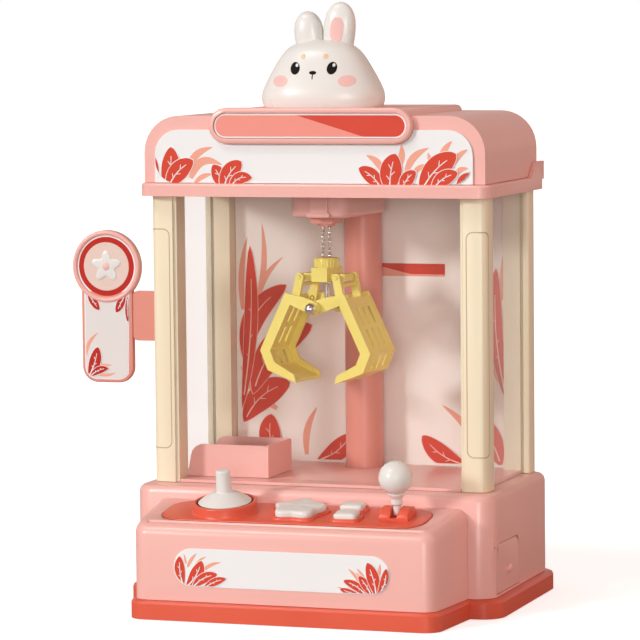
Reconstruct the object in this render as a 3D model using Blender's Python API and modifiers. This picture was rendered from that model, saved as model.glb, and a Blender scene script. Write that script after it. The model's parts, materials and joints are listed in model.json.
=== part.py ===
"""Tabletop toy claw crane machine: a pink cabinet on a red tray, with a swinging boom that carries
a claw on two chains, a sloping control console in front, and a sign arm on the left pillar.

Metres, +Z up. X is the width, -Y is the player's side, and z = 0 is the underside of the tray. The
origin is the middle of the main block's footprint.
"""

import math

import bmesh
import bpy
from mathutils import Matrix, Vector

mm = 0.001

# Fits shared by every piece
gap = 0.3 * mm  # between two pieces that touch
play = 0.5 * mm  # round a piece that moves
wall = 2.6 * mm  # moulded shells
thin = 1.6 * mm  # inner brackets and plates
over = 5 * mm  # how far a cutter runs past what it cuts

# Overall sizes
tray_half = 132 * mm
tray_front = -73.8 * mm
tray_rear = 74.4 * mm
deck = 81 * mm  # top of the main block
cabin_height = 195.5 * mm
header_height = 45.4 * mm

# Tray and main block
tray_height = 12.6 * mm
tray_floor = 2.8 * mm
tray_lip = 4.6 * mm  # how far the tray stands out past the shells
corner = 13 * mm
deck_round = 5 * mm
block_half = tray_half - tray_lip - 0.9 * mm
block_front = tray_front + 2.8 * mm
block_rear = tray_rear - 2.9 * mm

# Console in front of the block
console_front = block_front - 59 * mm
console_half_front = 104 * mm
console_half_rear = 110 * mm
console_corner = 10 * mm
console_round = 7.5 * mm
console_top_front = 64 * mm
console_slope = math.radians(8.5)
console_lip = 3.2 * mm

# Cabin
cabin_top = deck + cabin_height
pillar_outer = block_half - 7.9 * mm
pillar_width = 18.4 * mm
pillar_inner = pillar_outer - pillar_width
pillar_front = block_front + 17 * mm
pillar_front_depth = 18 * mm
pillar_rear = block_rear - 5 * mm
pillar_rear_depth = 16.5 * mm
pillar_corner = 6 * mm
glass = 1.4 * mm
glass_bite = 2 * mm  # how deep a window sits in a pillar
front_glass_y = pillar_front + 0.8 * mm
side_glass_x = pillar_outer - 5.4 * mm
floor_thick = 2 * mm
back_thick = 2.5 * mm

# Drop hole, fence and ramp
hole_width = 56 * mm
hole_depth = 43.5 * mm
hole_left = -pillar_inner + 0.2 * mm
hole_right = hole_left + hole_width
hole_front = pillar_front + pillar_front_depth + 2.5 * mm
hole_rear = hole_front + hole_depth
fence_thick = 2 * mm
fence_height = 22 * mm
ramp_high = deck - 29 * mm
ramp_low = tray_height + 4.9 * mm

# Prize door in the right wall
door_front = block_front + 11.5 * mm
door_rear = door_front + 53.5 * mm
door_low = tray_height + 2 * mm
door_top = door_low + 33.4 * mm
door_corner = 6 * mm
pin_radius = 0.7 * mm
jamb_deep = 2 * mm

# Header
lip_half = pillar_outer + 4.8 * mm
lip_front = pillar_front - 10 * mm
lip_rear = pillar_rear + 9.5 * mm
lip_low = cabin_top + gap
lip_high = lip_low + 8.8 * mm
lip_ear = lip_high + 10.4 * mm
lip_corner = 9 * mm
header_half = lip_half - 3.4 * mm
header_front = lip_front + 4.5 * mm
header_rear = lip_rear - 6 * mm
header_top = lip_high + header_height
header_corner = 25 * mm
header_round = 4 * mm
bump_half = 67 * mm
bump_top = header_top + 4 * mm
panel_half = header_half - 8 * mm
panel_top = header_top - 9.3 * mm
panel_thick = 1.2 * mm
plate_half = 71.5 * mm
plate_height = 24.2 * mm
plate_low = panel_top - 9.4 * mm
plate_high = plate_low + plate_height
plate_depth = 6 * mm
plate_rim = 3.6 * mm

# Topper, a plain rabbit head
topper_x = -3 * mm
topper_y = header_front + 33.5 * mm
topper_half_width = 42 * mm
topper_half_depth = 26 * mm
topper_height = 46 * mm
topper_middle = 16 * mm  # height of its widest part
topper_top = bump_top + 72 * mm

# Sign on the left pillar
sign_y = pillar_front + 9 * mm
sign_thick = 5 * mm
sign_x = -pillar_outer - 35.4 * mm
disc_z = cabin_top - 49 * mm
disc_radius = 24.8 * mm
board_half = 18.8 * mm
board_thick = 3 * mm
board_low = disc_z - 79.8 * mm
arm_low = disc_z - 50.5 * mm
arm_high = disc_z - 16.5 * mm

# Swinging boom
axis_y = pillar_rear - 19.5 * mm
rest_turn = math.radians(-5)
column_radius = 13.2 * mm
column_play = 0.8 * mm
boom_low = cabin_top - 15.5 * mm
boom_high = boom_low + 29 * mm
claw_reach = 62.7 * mm
boom_reach = claw_reach + 15.3 * mm
boom_half = 21.5 * mm
boom_shoulder = 20.5 * mm
boom_back = 13.4 * mm
trolley_travel = 20 * mm
guide_half = 8 * mm
guide_low = boom_low - 4.2 * mm
nozzle_low = guide_low - 2 * mm
drum_radius = 5 * mm
drum_z = boom_low + 26 * mm
chain_spacing = 5 * mm
chain_radius = 1.1 * mm
chain_top = header_top - wall - 8.4 * mm

# Swing gears, under the deck
module = 1.25 * mm
gear_teeth = 24
pinion_teeth = 10
gear_low = deck - 15 * mm
gear_high = gear_low + 8 * mm
backlash = 0.2 * mm
journal = 5 * mm  # lower end of the column
motor_radius = 10 * mm

# Claw, in its own frame: x across, y along the pin, z up
claw_turn = math.radians(-9)
hub_top = boom_low - 27.6 * mm
hub_low = hub_top - 7.4 * mm
hub_radius = 8.2 * mm
lug_x = 14 * mm
lug_z = hub_low - 5.5 * mm
pin_z = hub_low - 26 * mm
shoulder_x = 17.5 * mm
shoulder_z = pin_z + 4.5 * mm
link_near = 11.2 * mm  # the links' arms lie between these, either side of the middle
link_far = 13.8 * mm
link_pin = 1.2 * mm
link_half = 2.9 * mm
open_pivot_play = 0.7 * mm
jaw_depth = 20 * mm
jaw_plate = 2.5 * mm
jaw_band = 7 * mm
claw_pin_radius = 2 * mm
claw_ball = 3.8 * mm
jaw_outer = [(8, 7.5), (22, 10), (41.5, -29.5), (35.8, -43), (14, -51)]  # millimetres from the pin

# Controls, in the console's sloping plane: x, y up the slope, z away from it
panel_y = console_front + 32 * mm
red_half = console_half_front - 12 * mm
red_front = -23 * mm
red_rear = 21.5 * mm
red_corner = 17 * mm
red_thick = 2.2 * mm
red_proud = 0.9 * mm
red_low = red_proud - red_thick
stick_x = -50 * mm
stick_pivot = 1.5 * mm
ring_outer = 21.5 * mm
ring_inner = 19.2 * mm
ring_high = 7.6 * mm
dome_radius = 17.8 * mm
dome_wall = 1.6 * mm
flower_x = 2 * mm
flower_radius = 16.4 * mm
flower_lobe = 1.9 * mm
square_half = (7.8 * mm, 6.4 * mm)
square_places = {"front": (38 * mm, -8.5 * mm), "rear": (36 * mm, 11 * mm)}
rim = 2 * mm
rim_high = 2 * mm
button_flange = 1.4 * mm
button_deep = 5 * mm
lever_x = 70 * mm
lever_y = 1 * mm
lever_pivot = 4 * mm
lever_slot = (5.4 * mm, 10 * mm)  # half width, half length
saddle_half = (10.5 * mm, 14 * mm)
saddle_high = 11.5 * mm
lever_ball = 11.2 * mm
lever_ball_z = 27.5 * mm
lever_radius = 4.2 * mm

# Sound, cells, board, socket and switch
speaker_radius = 20 * mm
grille_ring = 9 * mm
speaker_y = console_front + 26 * mm
cell_radius = 7 * mm
cell_length = 50 * mm
cell_count = 3
cell_pitch = 15 * mm
cell_left = -block_half + 28.5 * mm
cell_rear = block_rear - 5.5 * mm
cell_box = (cell_left, cell_left + 63 * mm, cell_rear - 49 * mm, cell_rear)  # left, right, front, rear
cell_box_high = 21 * mm
board_z = 12 * mm
board_right = block_half - 28.5 * mm
board_rear = block_rear - 11.5 * mm
board_box = (board_right - 56 * mm, board_right, board_rear - 40 * mm, board_rear)
switch_x = block_half - 34.5 * mm
switch_travel = 4 * mm
usb_x = switch_x - 30 * mm
usb_z = tray_height + 14.4 * mm
socket_half = 5 * mm
socket_high = 2.4 * mm  # half the opening's height

parts = None
tools = None
finishes = {}


# ---------------------------------------------------------------- helpers


def collection(name):
    made = bpy.data.collections.new(name)
    bpy.context.scene.collection.children.link(made)
    return made


def finish(name, color, roughness=0.4, metallic=0.0, alpha=1.0):
    made = bpy.data.materials.new(name)
    made.use_nodes = True
    shader = made.node_tree.nodes["Principled BSDF"]
    shader.inputs["Base Color"].default_value = (*color, 1.0)
    shader.inputs["Roughness"].default_value = roughness
    shader.inputs["Metallic"].default_value = metallic
    shader.inputs["Alpha"].default_value = alpha
    finishes[name] = made


def make(name, bm, look=None, parent=None, pivot=(0, 0, 0)):
    """An object from a bmesh: a part when it has a look, and otherwise a tool for a Boolean."""
    bmesh.ops.recalc_face_normals(bm, faces=bm.faces)
    bmesh.ops.translate(bm, verts=bm.verts, vec=-Vector(pivot))
    mesh = bpy.data.meshes.new(name)
    bm.to_mesh(mesh)
    bm.free()
    made = bpy.data.objects.new(name, mesh)
    made.location = pivot
    made.parent = parent
    if look:
        mesh.materials.append(finishes[look])
        mesh.shade_smooth()
        mesh.set_sharp_from_angle(angle=math.radians(35))
        parts.objects.link(made)
    else:
        made.hide_render = True
        made.display_type = "WIRE"
        tools.objects.link(made)
    return made


def box_outline(x0, y0, x1, y1):
    return [(x0, y0), (x1, y0), (x1, y1), (x0, y1)]


def rounded(points, radius, steps=4):
    """A convex or concave outline with each corner turned into an arc; radius may be a list."""
    radii = radius if isinstance(radius, list) else [radius] * len(points)
    outline = []
    for i, here in enumerate(points):
        here = Vector(here)
        before = (Vector(points[i - 1]) - here).normalized()
        after = (Vector(points[(i + 1) % len(points)]) - here).normalized()
        if radii[i] == 0:
            outline.append(tuple(here))
            continue
        half = before.angle(after) / 2
        centre = here + (before + after).normalized() * radii[i] / math.sin(half)
        start = here + before * radii[i] / math.tan(half) - centre
        turn = before.x * after.y - before.y * after.x
        sweep = (math.pi - 2 * half) * (1 if turn < 0 else -1)
        for step in range(steps + 1):
            angle = sweep * step / steps
            spot = Vector((start.x * math.cos(angle) - start.y * math.sin(angle),
                           start.x * math.sin(angle) + start.y * math.cos(angle)))
            outline.append(tuple(centre + spot))
    return outline


def arc(centre, radius, start, end, steps):
    """Points on an arc, angles in degrees."""
    angles = [math.radians(start + (end - start) * i / steps) for i in range(steps + 1)]
    return [(centre[0] + radius * math.cos(a), centre[1] + radius * math.sin(a)) for a in angles]


def stadium(x0, z0, x1, z1, steps=8):
    radius = (z1 - z0) / 2
    middle = (z0 + z1) / 2
    return (arc((x1 - radius, middle), radius, -90, 90, steps) + arc((x0 + radius, middle), radius, 90,
                                                                     270, steps))


def in_space(axis, a, b, height):
    return {"Z": (a, b, height), "Y": (a, height, b), "X": (height, a, b)}[axis]


def slab(name, outline, low, high, axis="Z", look=None, parent=None, pivot=(0, 0, 0), round_high=0.0,
         round_low=0.0, segments=3, top=None):
    """An outline pushed from low to high along an axis. top(a, b) gives a sloping upper face."""
    bm = bmesh.new()
    first = bm.faces.new([bm.verts.new(in_space(axis, a, b, low)) for a, b in outline])
    pushed = bmesh.ops.extrude_face_region(bm, geom=[first])["geom"]
    upper = [v for v in pushed if isinstance(v, bmesh.types.BMVert)]
    along = "XYZ".index(axis)
    for vert in upper:
        a, b = [vert.co[i] for i in range(3) if i != along]
        vert.co[along] = top(a, b) if top else high
    for wanted, width in ((True, round_high), (False, round_low)):
        if width:
            chosen = set(upper)
            edges = [e for e in bm.edges if all((v in chosen) == wanted for v in e.verts)]
            bmesh.ops.bevel(bm, geom=edges, offset=width, segments=segments, affect="EDGES", profile=0.5)
            upper = [v for v in bm.verts if v.is_valid and v not in chosen] if wanted else upper
    return make(name, bm, look, parent, pivot)


def block(name, low, high, look=None, parent=None, pivot=(0, 0, 0), soft=0.0, segments=2):
    bm = bmesh.new()
    size = Vector(high) - Vector(low)
    middle = (Vector(high) + Vector(low)) / 2
    bmesh.ops.create_cube(bm, size=1, matrix=Matrix.Translation(middle) @ Matrix.Diagonal((*size, 1)))
    if soft:
        bmesh.ops.bevel(bm, geom=bm.edges[:], offset=soft, segments=segments, affect="EDGES", profile=0.5)
    return make(name, bm, look, parent, pivot)


def rod(name, radius, low, high, centre, axis="Z", look=None, parent=None, pivot=(0, 0, 0), sides=24,
        end_radius=None, soft=0.0):
    """A round bar or cone from low to high along an axis, through centre in the other two."""
    bm = bmesh.new()
    bmesh.ops.create_cone(bm, cap_ends=True, segments=sides, radius1=radius,
                          radius2=radius if end_radius is None else end_radius, depth=high - low)
    if soft:
        rims = [e for e in bm.edges if abs(e.verts[0].co.z - e.verts[1].co.z) < 1e-7]
        bmesh.ops.bevel(bm, geom=rims, offset=soft, segments=2, affect="EDGES", profile=0.5)
    turn = {"Z": Matrix(), "Y": Matrix.Rotation(-math.pi / 2, 4, "X"),
            "X": Matrix.Rotation(math.pi / 2, 4, "Y")}[axis]
    place = Matrix.Translation(in_space(axis, *centre, (low + high) / 2))
    bmesh.ops.transform(bm, matrix=place @ turn, verts=bm.verts)
    return make(name, bm, look, parent, pivot)


def ball(name, size, centre, look=None, parent=None, pivot=(0, 0, 0), sides=20, turn=None):
    """A sphere or an ellipsoid with the three half sizes in size."""
    bm = bmesh.new()
    place = Matrix.Translation(centre) @ (turn or Matrix()) @ Matrix.Diagonal((*size, 1))
    bmesh.ops.create_uvsphere(bm, u_segments=sides, v_segments=sides // 2, radius=1, matrix=place)
    return make(name, bm, look, parent, pivot)


def turned(name, profile, centre, look=None, parent=None, pivot=(0, 0, 0), sides=24):
    """A profile of (radius, height), top to bottom on its outer side, screwed round Z at centre."""
    mesh = bpy.data.meshes.new(name)
    bm = bmesh.new()
    verts = [bm.verts.new((radius, 0, height)) for radius, height in profile]
    for one, two in zip(verts, verts[1:]):
        bm.edges.new((one, two))
    bm.to_mesh(mesh)
    bm.free()
    shape = bpy.data.objects.new(name, mesh)
    tools.objects.link(shape)
    screw = shape.modifiers.new("turn", "SCREW")
    screw.steps = screw.render_steps = sides
    screw.use_merge_vertices = True
    screw.merge_threshold = 0.00001
    bpy.context.view_layer.update()
    made = bpy.data.meshes.new_from_object(shape.evaluated_get(bpy.context.evaluated_depsgraph_get()))
    bpy.data.objects.remove(shape, do_unlink=True)
    bm = bmesh.new()
    bm.from_mesh(made)
    bmesh.ops.remove_doubles(bm, verts=bm.verts, dist=0.00001)
    bmesh.ops.translate(bm, verts=bm.verts, vec=Vector(centre))
    return make(name, bm, look, parent, pivot)


def change(target, operation, others):
    for other in others:
        step = target.modifiers.new(operation.lower(), "BOOLEAN")
        step.operation = operation
        step.solver = "EXACT"
        step.object = other
    return target


def cut(target, *others):
    return change(target, "DIFFERENCE", others)


def join(target, *others):
    return change(target, "UNION", others)


def empty(name, place, turn=(0, 0, 0)):
    made = bpy.data.objects.new(name, None)
    made.location = place
    made.rotation_euler = turn
    parts.objects.link(made)
    return made


def slope_height(y):
    return console_top_front + (y - console_front) * math.tan(console_slope)


# ---------------------------------------------------------------- base


def console_outline(inset=0.0, front=console_front, rear=block_front - gap):
    steep = (console_half_rear - console_half_front) / (block_front - console_front)
    half = console_half_front - inset
    front_half = half + (front - console_front) * steep
    rear_half = half + (rear - console_front) * steep
    points = [(-front_half, front + inset), (front_half, front + inset), (rear_half, rear),
              (-rear_half, rear)]
    return rounded(points, [console_corner - inset, console_corner - inset, 0, 0], 6)


def base_tray():
    reach = console_lip
    front = rounded(box_outline(-tray_half, tray_front, tray_half, tray_rear), corner + tray_lip / 2, 7)
    tray = slab("base_tray", front, 0, tray_height, look="coral", round_high=2.2 * mm, round_low=0.8 * mm,
                segments=2)
    half = console_half_front + reach
    rear_half = console_half_rear + reach
    nose = rounded([(-half, console_front - reach), (half, console_front - reach),
                    (rear_half, tray_front + corner), (-rear_half, tray_front + corner)],
                   [console_corner + reach / 2, console_corner + reach / 2, 0, 0], 7)
    join(tray, slab("nose", nose, 0, tray_height, round_high=2.2 * mm, round_low=0.8 * mm, segments=2))
    ledge = wall + gap
    inside = rounded(box_outline(-block_half + ledge, block_front + ledge, block_half - ledge,
                                 block_rear - ledge), corner - ledge)
    nose_inside = console_outline(ledge, rear=block_front + 2 * ledge)
    cut(tray, slab("tray_hollow", inside, tray_floor, tray_height + over),
        slab("nose_hollow", nose_inside, tray_floor, tray_height + over))
    cut(tray, *[rod("grille", 2 * mm, -over, tray_floor + over, spot, sides=10) for spot in speaker_holes()])
    cut(tray, block("battery_hatch", (cell_box[0] + 2 * mm, cell_box[2] + 2 * mm, -over),
                    (cell_box[1] - 2 * mm, cell_box[3] - 2 * mm, tray_floor + over)))
    join(tray, *[rod("post", 2.2 * mm, tray_floor - 0.5 * mm, board_z - gap, spot,
                     sides=10) for spot in board_posts()])
    return tray


def speaker_holes():
    ring = [(grille_ring * math.cos(math.radians(a)),
             speaker_y + grille_ring * math.sin(math.radians(a))) for a in range(0, 360, 60)]
    return [(0, speaker_y)] + ring


def board_posts():
    left, right, front, rear = board_box
    edge = 4 * mm
    return [(x, y) for x in (left + edge, right - edge) for y in (front + edge, rear - edge)]


def power_and_sound():
    left, right, front, rear = cell_box
    low = tray_floor + gap
    case = block("battery_box", (left, front, low), (right, rear, cell_box_high), "grey")
    cut(case, block("case_hollow", (left + thin, front + thin, low - 1 * mm),
                    (right - thin, rear - thin, cell_box_high - thin)))
    edge = 2 * mm + gap
    block("battery_cover", (left + edge, front + edge, gap), (right - edge, rear - edge, tray_floor - gap),
          "coral")
    middle = (front + rear) / 2
    for number in range(cell_count):
        y = middle + (number - (cell_count - 1) / 2) * cell_pitch
        centre_z = tray_floor + gap + cell_radius
        cell_x = (left + right) / 2
        cell = rod(f"battery_{number + 1}", cell_radius, cell_x - cell_length / 2,
                   cell_x + cell_length / 2 - 1 * mm, (y, centre_z), "X", "steel", sides=16)
        join(cell, rod("button", 2.5 * mm, cell_x + cell_length / 2 - 2 * mm, cell_x + cell_length / 2,
                       (y, centre_z), "X", sides=10))
    left, right, front, rear = board_box
    board = block("circuit_board", (left, front, board_z), (right, rear, board_z + thin), "board")
    join(board, block("chip", (left + 14 * mm, front + 12 * mm, board_z + 0.5 * mm),
                      (left + 28 * mm, front + 26 * mm, board_z + 4 * mm)),
         block("plug", (right - 18 * mm, rear - 12 * mm, board_z + 0.5 * mm),
               (right - 8 * mm, rear - 4 * mm, board_z + 8 * mm)))
    cone = [(0, tray_floor + 16 * mm), (9 * mm, tray_floor + 16 * mm), (9 * mm, tray_floor + 10 * mm),
            (speaker_radius - 1 * mm, tray_floor + 4 * mm), (speaker_radius, tray_floor + 4 * mm),
            (speaker_radius, tray_floor + gap), (0, tray_floor + gap)]
    turned("speaker", cone, (0, speaker_y, 0), "grey")


def base_shell():
    low = tray_height + gap
    outline = rounded(box_outline(-block_half, block_front, block_half, block_rear), corner, 7)
    shell = slab("base_shell", outline, low, deck, look="pink", round_high=deck_round)
    inner = rounded(box_outline(-block_half + wall, block_front + wall, block_half - wall,
                                block_rear - wall), corner - wall)
    cut(shell, slab("shell_hollow", inner, low - over, deck - wall, round_high=deck_round - wall,
                    segments=2))
    jamb = 5 * mm
    hinge_x, hinge_z = door_axis()
    for y in (door_front - jamb, door_rear):
        join(shell, block("jamb", (block_half - wall - jamb_deep, y, hinge_z - 4 * mm),
                          (block_half - 1 * mm, y + jamb, hinge_z + 4 * mm)))
    door_hole = rounded([(door_front, door_low), (door_rear, door_low), (door_rear, door_top),
                         (door_front, door_top)], [0, 0, door_corner, door_corner], 3)
    cut(shell, slab("door_hole", door_hole, block_half - 2 * over, block_half + over, "X"))
    cut(shell, rod("pin_hole", pin_radius + gap, door_front - 3 * mm, door_rear + 3 * mm,
                   (hinge_x, hinge_z), "Y", sides=8))
    cut(shell, block("drop_hole", (hole_left, hole_front, deck - 2 * over),
                     (hole_right, hole_rear, deck + over)),
        rod("column_hole", column_radius + column_play, deck - 2 * over, deck + over, (0, axis_y)),
        block("usb_hole", (usb_x - socket_half, block_rear - 2 * over, usb_z - socket_high),
              (usb_x + socket_half, block_rear + over, usb_z + socket_high)),
        block("switch_hole", (switch_x - socket_half, block_rear - 2 * over, usb_z - socket_high),
              (switch_x + socket_half, block_rear + over, usb_z + socket_high)),
        rod("door_pivot_hole", pin_radius * 2 + gap, deck - 2 * over, deck + over, back_axis(), sides=10))
    return shell


def door_axis():
    """X and Z of the prize door's hinge: in the wall's thickness, at its top edge."""
    return block_half - wall / 2, door_top - wall / 2 - play


def back_axis():
    """X and Y of the back door's hinge: just behind the door, at its left edge."""
    return -pillar_inner + gap + 1.5 * mm, pillar_rear - 1.7 * mm


def rear_fittings():
    socket = block("usb_inlet", (usb_x - socket_half + gap, block_rear - 9 * mm,
                                 usb_z - socket_high + gap),
                   (usb_x + socket_half - gap, block_rear - 0.2 * mm, usb_z + socket_high - gap), "steel")
    cut(socket, block("usb_mouth", (usb_x - 3.8 * mm, block_rear - 7 * mm, usb_z - 1.3 * mm),
                      (usb_x + 3.8 * mm, block_rear + 1 * mm, usb_z + 1.3 * mm)))
    join(socket, block("usb_flange", (usb_x - 7 * mm, block_rear - 6 * mm, usb_z - 4 * mm),
                       (usb_x - 4.2 * mm, block_rear - wall - gap, usb_z + 4 * mm)))
    rest_x = switch_x - switch_travel / 2
    knob = block("power_switch", (rest_x - 2.4 * mm, block_rear - wall - 1 * mm, usb_z - 1.9 * mm),
                 (rest_x + 2.4 * mm, block_rear + 1.6 * mm, usb_z + 1.9 * mm), "grey",
                 pivot=(rest_x, block_rear, usb_z))
    join(knob, block("switch_slide", (rest_x - 6 * mm, block_rear - wall - 2.4 * mm, usb_z - 3.4 * mm),
                     (rest_x + 6 * mm, block_rear - wall - gap, usb_z + 3.4 * mm)))


def prize_door():
    hinge_x, hinge_z = door_axis()
    low = door_low + play
    outline = rounded([(door_front + play, low), (door_rear - play, low), (door_rear - play, hinge_z),
                       (door_front + play, hinge_z)], [0.5 * mm] * 2 + [door_corner + 1 * mm] * 2, 3)
    door = slab("prize_door", outline, block_half - wall, block_half, "X", "pink",
                pivot=(hinge_x, 0, hinge_z))
    inset = door_corner
    join(door, rod("barrel", wall / 2, door_front + inset, door_rear - inset, (hinge_x, hinge_z), "Y",
                   sides=12), rod("stubs", pin_radius, door_front - 2.4 * mm, door_rear + 2.4 * mm,
                                  (hinge_x, hinge_z), "Y", sides=8),
         ball("knob", (2.6 * mm, 3.4 * mm, 3.4 * mm),
              (block_half + 0.6 * mm, (door_front + door_rear) / 2, door_low + 14.4 * mm), sides=12))
    return door


def ramp():
    """A trough from the drop hole down to the prize door, open above and at its right end."""
    left = hole_left - 4 * mm
    right = block_half - wall - jamb_deep - gap
    front = door_front - 1 * mm
    rear = hole_rear + 3 * mm
    high = deck - wall - gap
    steep = (ramp_low - ramp_high) / (right - left)
    deep = thin + 0.5 * mm  # all of it reaches below the underside, which one cut then makes
    floor = [(left, ramp_high - deep), (right, ramp_low - deep), (right, ramp_low), (left, ramp_high)]
    chute = slab("chute_ramp", floor, front, rear, "Y", "pale")
    side = [(left, ramp_high - deep), (right, ramp_low - deep), (right, door_top + 2 * mm), (0, high),
            (left, high)]
    turn_x = hole_right + 104 * mm
    turn_z = ramp_high + (turn_x - left) * steep
    end = [(left, ramp_high - deep), (turn_x, turn_z - deep), (turn_x, high - 10 * mm), (0, high),
           (left, high)]
    guide = [(turn_x - 1 * mm, rear - thin), (right, door_rear), (right, door_rear + thin), (turn_x, rear)]
    join(chute, slab("front_side", side, front, front + thin, "Y"),
         slab("rear_side", end, rear - thin, rear, "Y"),
         slab("guide", guide, ramp_low - thin / 2, door_top + 2 * mm),
         block("left_side", (left, front, ramp_high - deep), (left + thin, rear, high)))
    under = [(left - 5 * mm, 0), (right + 5 * mm, 0), (right + 5 * mm, ramp_low - thin + 5 * mm * steep),
             (left - 5 * mm, ramp_high - thin - 5 * mm * steep)]
    cut(chute, slab("under", under, front - over, rear + over, "Y"))
    foot_y = (front + rear) / 2
    foot_x = left + 30 * mm
    join(chute, block("foot", (foot_x, foot_y - 8 * mm, tray_floor + gap),
                      (foot_x + 3 * mm, foot_y + 8 * mm, ramp_high + (foot_x - left) * steep - 1 * mm)))
    return chute


def play_floor():
    low = deck + gap
    inner = pillar_inner - gap
    edge = side_glass_x - glass / 2 - gap
    front = front_glass_y + glass / 2 + gap
    front_notch = pillar_front + pillar_front_depth + gap
    rear_notch = pillar_rear - pillar_rear_depth - gap
    rear = back_inner() - play
    half = [(inner, front), (inner, front_notch), (edge, front_notch), (edge, rear_notch),
            (inner, rear_notch), (inner, rear)]
    outline = half + [(-x, y) for x, y in reversed(half)]
    plate = slab("play_floor", outline, low, low + floor_thick, look="pale")
    cut(plate, block("drop", (hole_left, hole_front, low - over), (hole_right, hole_rear, low + 2 * over)),
        rod("column_way", column_radius + column_play, low - over, low + 2 * over, (0, axis_y)))
    return plate


def back_inner():
    return back_axis()[1] - 1 * mm - back_thick


def chute_fence():
    """Three low walls round the drop hole, with soft ends at the window."""
    low = deck + gap + floor_thick + gap
    high = low + fence_height
    left = hole_left - 1 * mm
    front = hole_front - fence_thick
    rear = hole_rear + fence_thick
    right = hole_right + fence_thick
    face = rounded([(left, low), (right, low), (right, high), (left + 4 * mm, high)],
                   [0, 0, 4 * mm, 9 * mm], 4)
    fence = slab("chute_fence", face, front, hole_front, "Y", "pink")
    side = [(front, low), (rear, low), (rear, high), (front, high)]
    join(fence, slab("rear_wall", face, hole_rear, rear, "Y"),
         slab("side_wall", rounded(side, [0, 0, 2 * mm, 2 * mm], 3), hole_right, right, "X"))
    return fence


def console_shell():
    """The console: its top edge is rounded on three sides, and it is open below and at the back."""
    low = tray_height + gap
    outline = console_outline(rear=block_front + 20 * mm)
    shell = slab("console_shell", outline, low, 0, look="pink", top=lambda x, y: slope_height(y),
                 round_high=console_round, segments=4)
    inner = console_outline(wall, rear=block_front + 30 * mm)
    cut(shell, slab("console_hollow", inner, low - over, 0, top=lambda x, y: slope_height(y) - wall,
                    round_high=console_round - wall, segments=2))
    cut(shell, block("console_back", (-tray_half, block_front - gap, 0), (tray_half, 0, deck + 30 * mm)))
    ledge = 1.4 * mm
    pocket = rounded(box_outline(-red_half - gap, red_front - gap, red_half + gap, red_rear + gap),
                     red_corner + gap, 5)
    bore = rounded(box_outline(-red_half + ledge, red_front + ledge, red_half - ledge, red_rear - ledge),
                   red_corner - ledge, 3)
    cut(shell, slab("pocket", pocket, red_low - gap, 2 * over, parent=plane),
        slab("bore", bore, -12 * mm, 2 * over, parent=plane))
    return shell


# ---------------------------------------------------------------- controls


def flower_outline(extra=0.0, points=40):
    angles = [2 * math.pi * i / points for i in range(points)]
    radii = [flower_radius + extra + flower_lobe * math.cos(5 * (a - math.pi / 2)) for a in angles]
    return [(flower_x + r * math.cos(a), r * math.sin(a)) for r, a in zip(radii, angles)]


def square_outline(spot, extra=0.0):
    x, y = spot
    half_x, half_y = square_half[0] + extra, square_half[1] + extra
    return rounded(box_outline(x - half_x, y - half_y, x + half_x, y + half_y), 2.5 * mm + extra, 3)


def control_panel():
    low = red_low
    outline = rounded(box_outline(-red_half, red_front, red_half, red_rear), red_corner, 5)
    panel = slab("control_panel", outline, low, red_proud, look="coral", parent=plane, round_high=0.6 * mm,
                 segments=1)
    join(panel, rod("ring", ring_outer, low + 0.5 * mm, ring_high, (stick_x, 0), parent=plane, sides=32,
                    soft=0.8 * mm), slab("flower_rim", flower_outline(rim), low + 0.5 * mm,
                                         red_proud + rim_high, parent=plane))
    for spot in square_places.values():
        join(panel, slab("square_rim", square_outline(spot, rim), low + 0.5 * mm, red_proud + rim_high,
                         parent=plane))
    cut(panel, rod("ring_hole", ring_inner, -2 * over, 4 * over, (stick_x, 0), parent=plane, sides=32),
        slab("flower_hole", flower_outline(play), -2 * over, 2 * over, parent=plane))
    for spot in square_places.values():
        cut(panel, slab("square_hole", square_outline(spot, play), -2 * over, 2 * over, parent=plane))
    cut(panel, block("lever_slot", (lever_x - lever_slot[0], lever_y - lever_slot[1], -2 * over),
                     (lever_x + lever_slot[0], lever_y + lever_slot[1], 2 * over), parent=plane))
    return panel


def buttons():
    under = red_low - play
    flower = slab("flower_button", flower_outline(), under - button_deep, red_proud + 5 * mm, look="white",
                  parent=plane, pivot=(flower_x, 0, 0), round_high=1.6 * mm, segments=2)
    join(flower, slab("flower_flange", flower_outline(button_flange), under - button_deep,
                      under - button_deep + thin, parent=plane))
    for place, spot in square_places.items():
        button = slab(f"square_button_{place}", square_outline(spot), under - button_deep,
                      red_proud + 4.2 * mm, look="white", parent=plane, pivot=(*spot, 0),
                      round_high=1 * mm, segments=2)
        join(button, slab("square_flange", square_outline(spot, button_flange), under - button_deep,
                          under - button_deep + thin, parent=plane))


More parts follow.
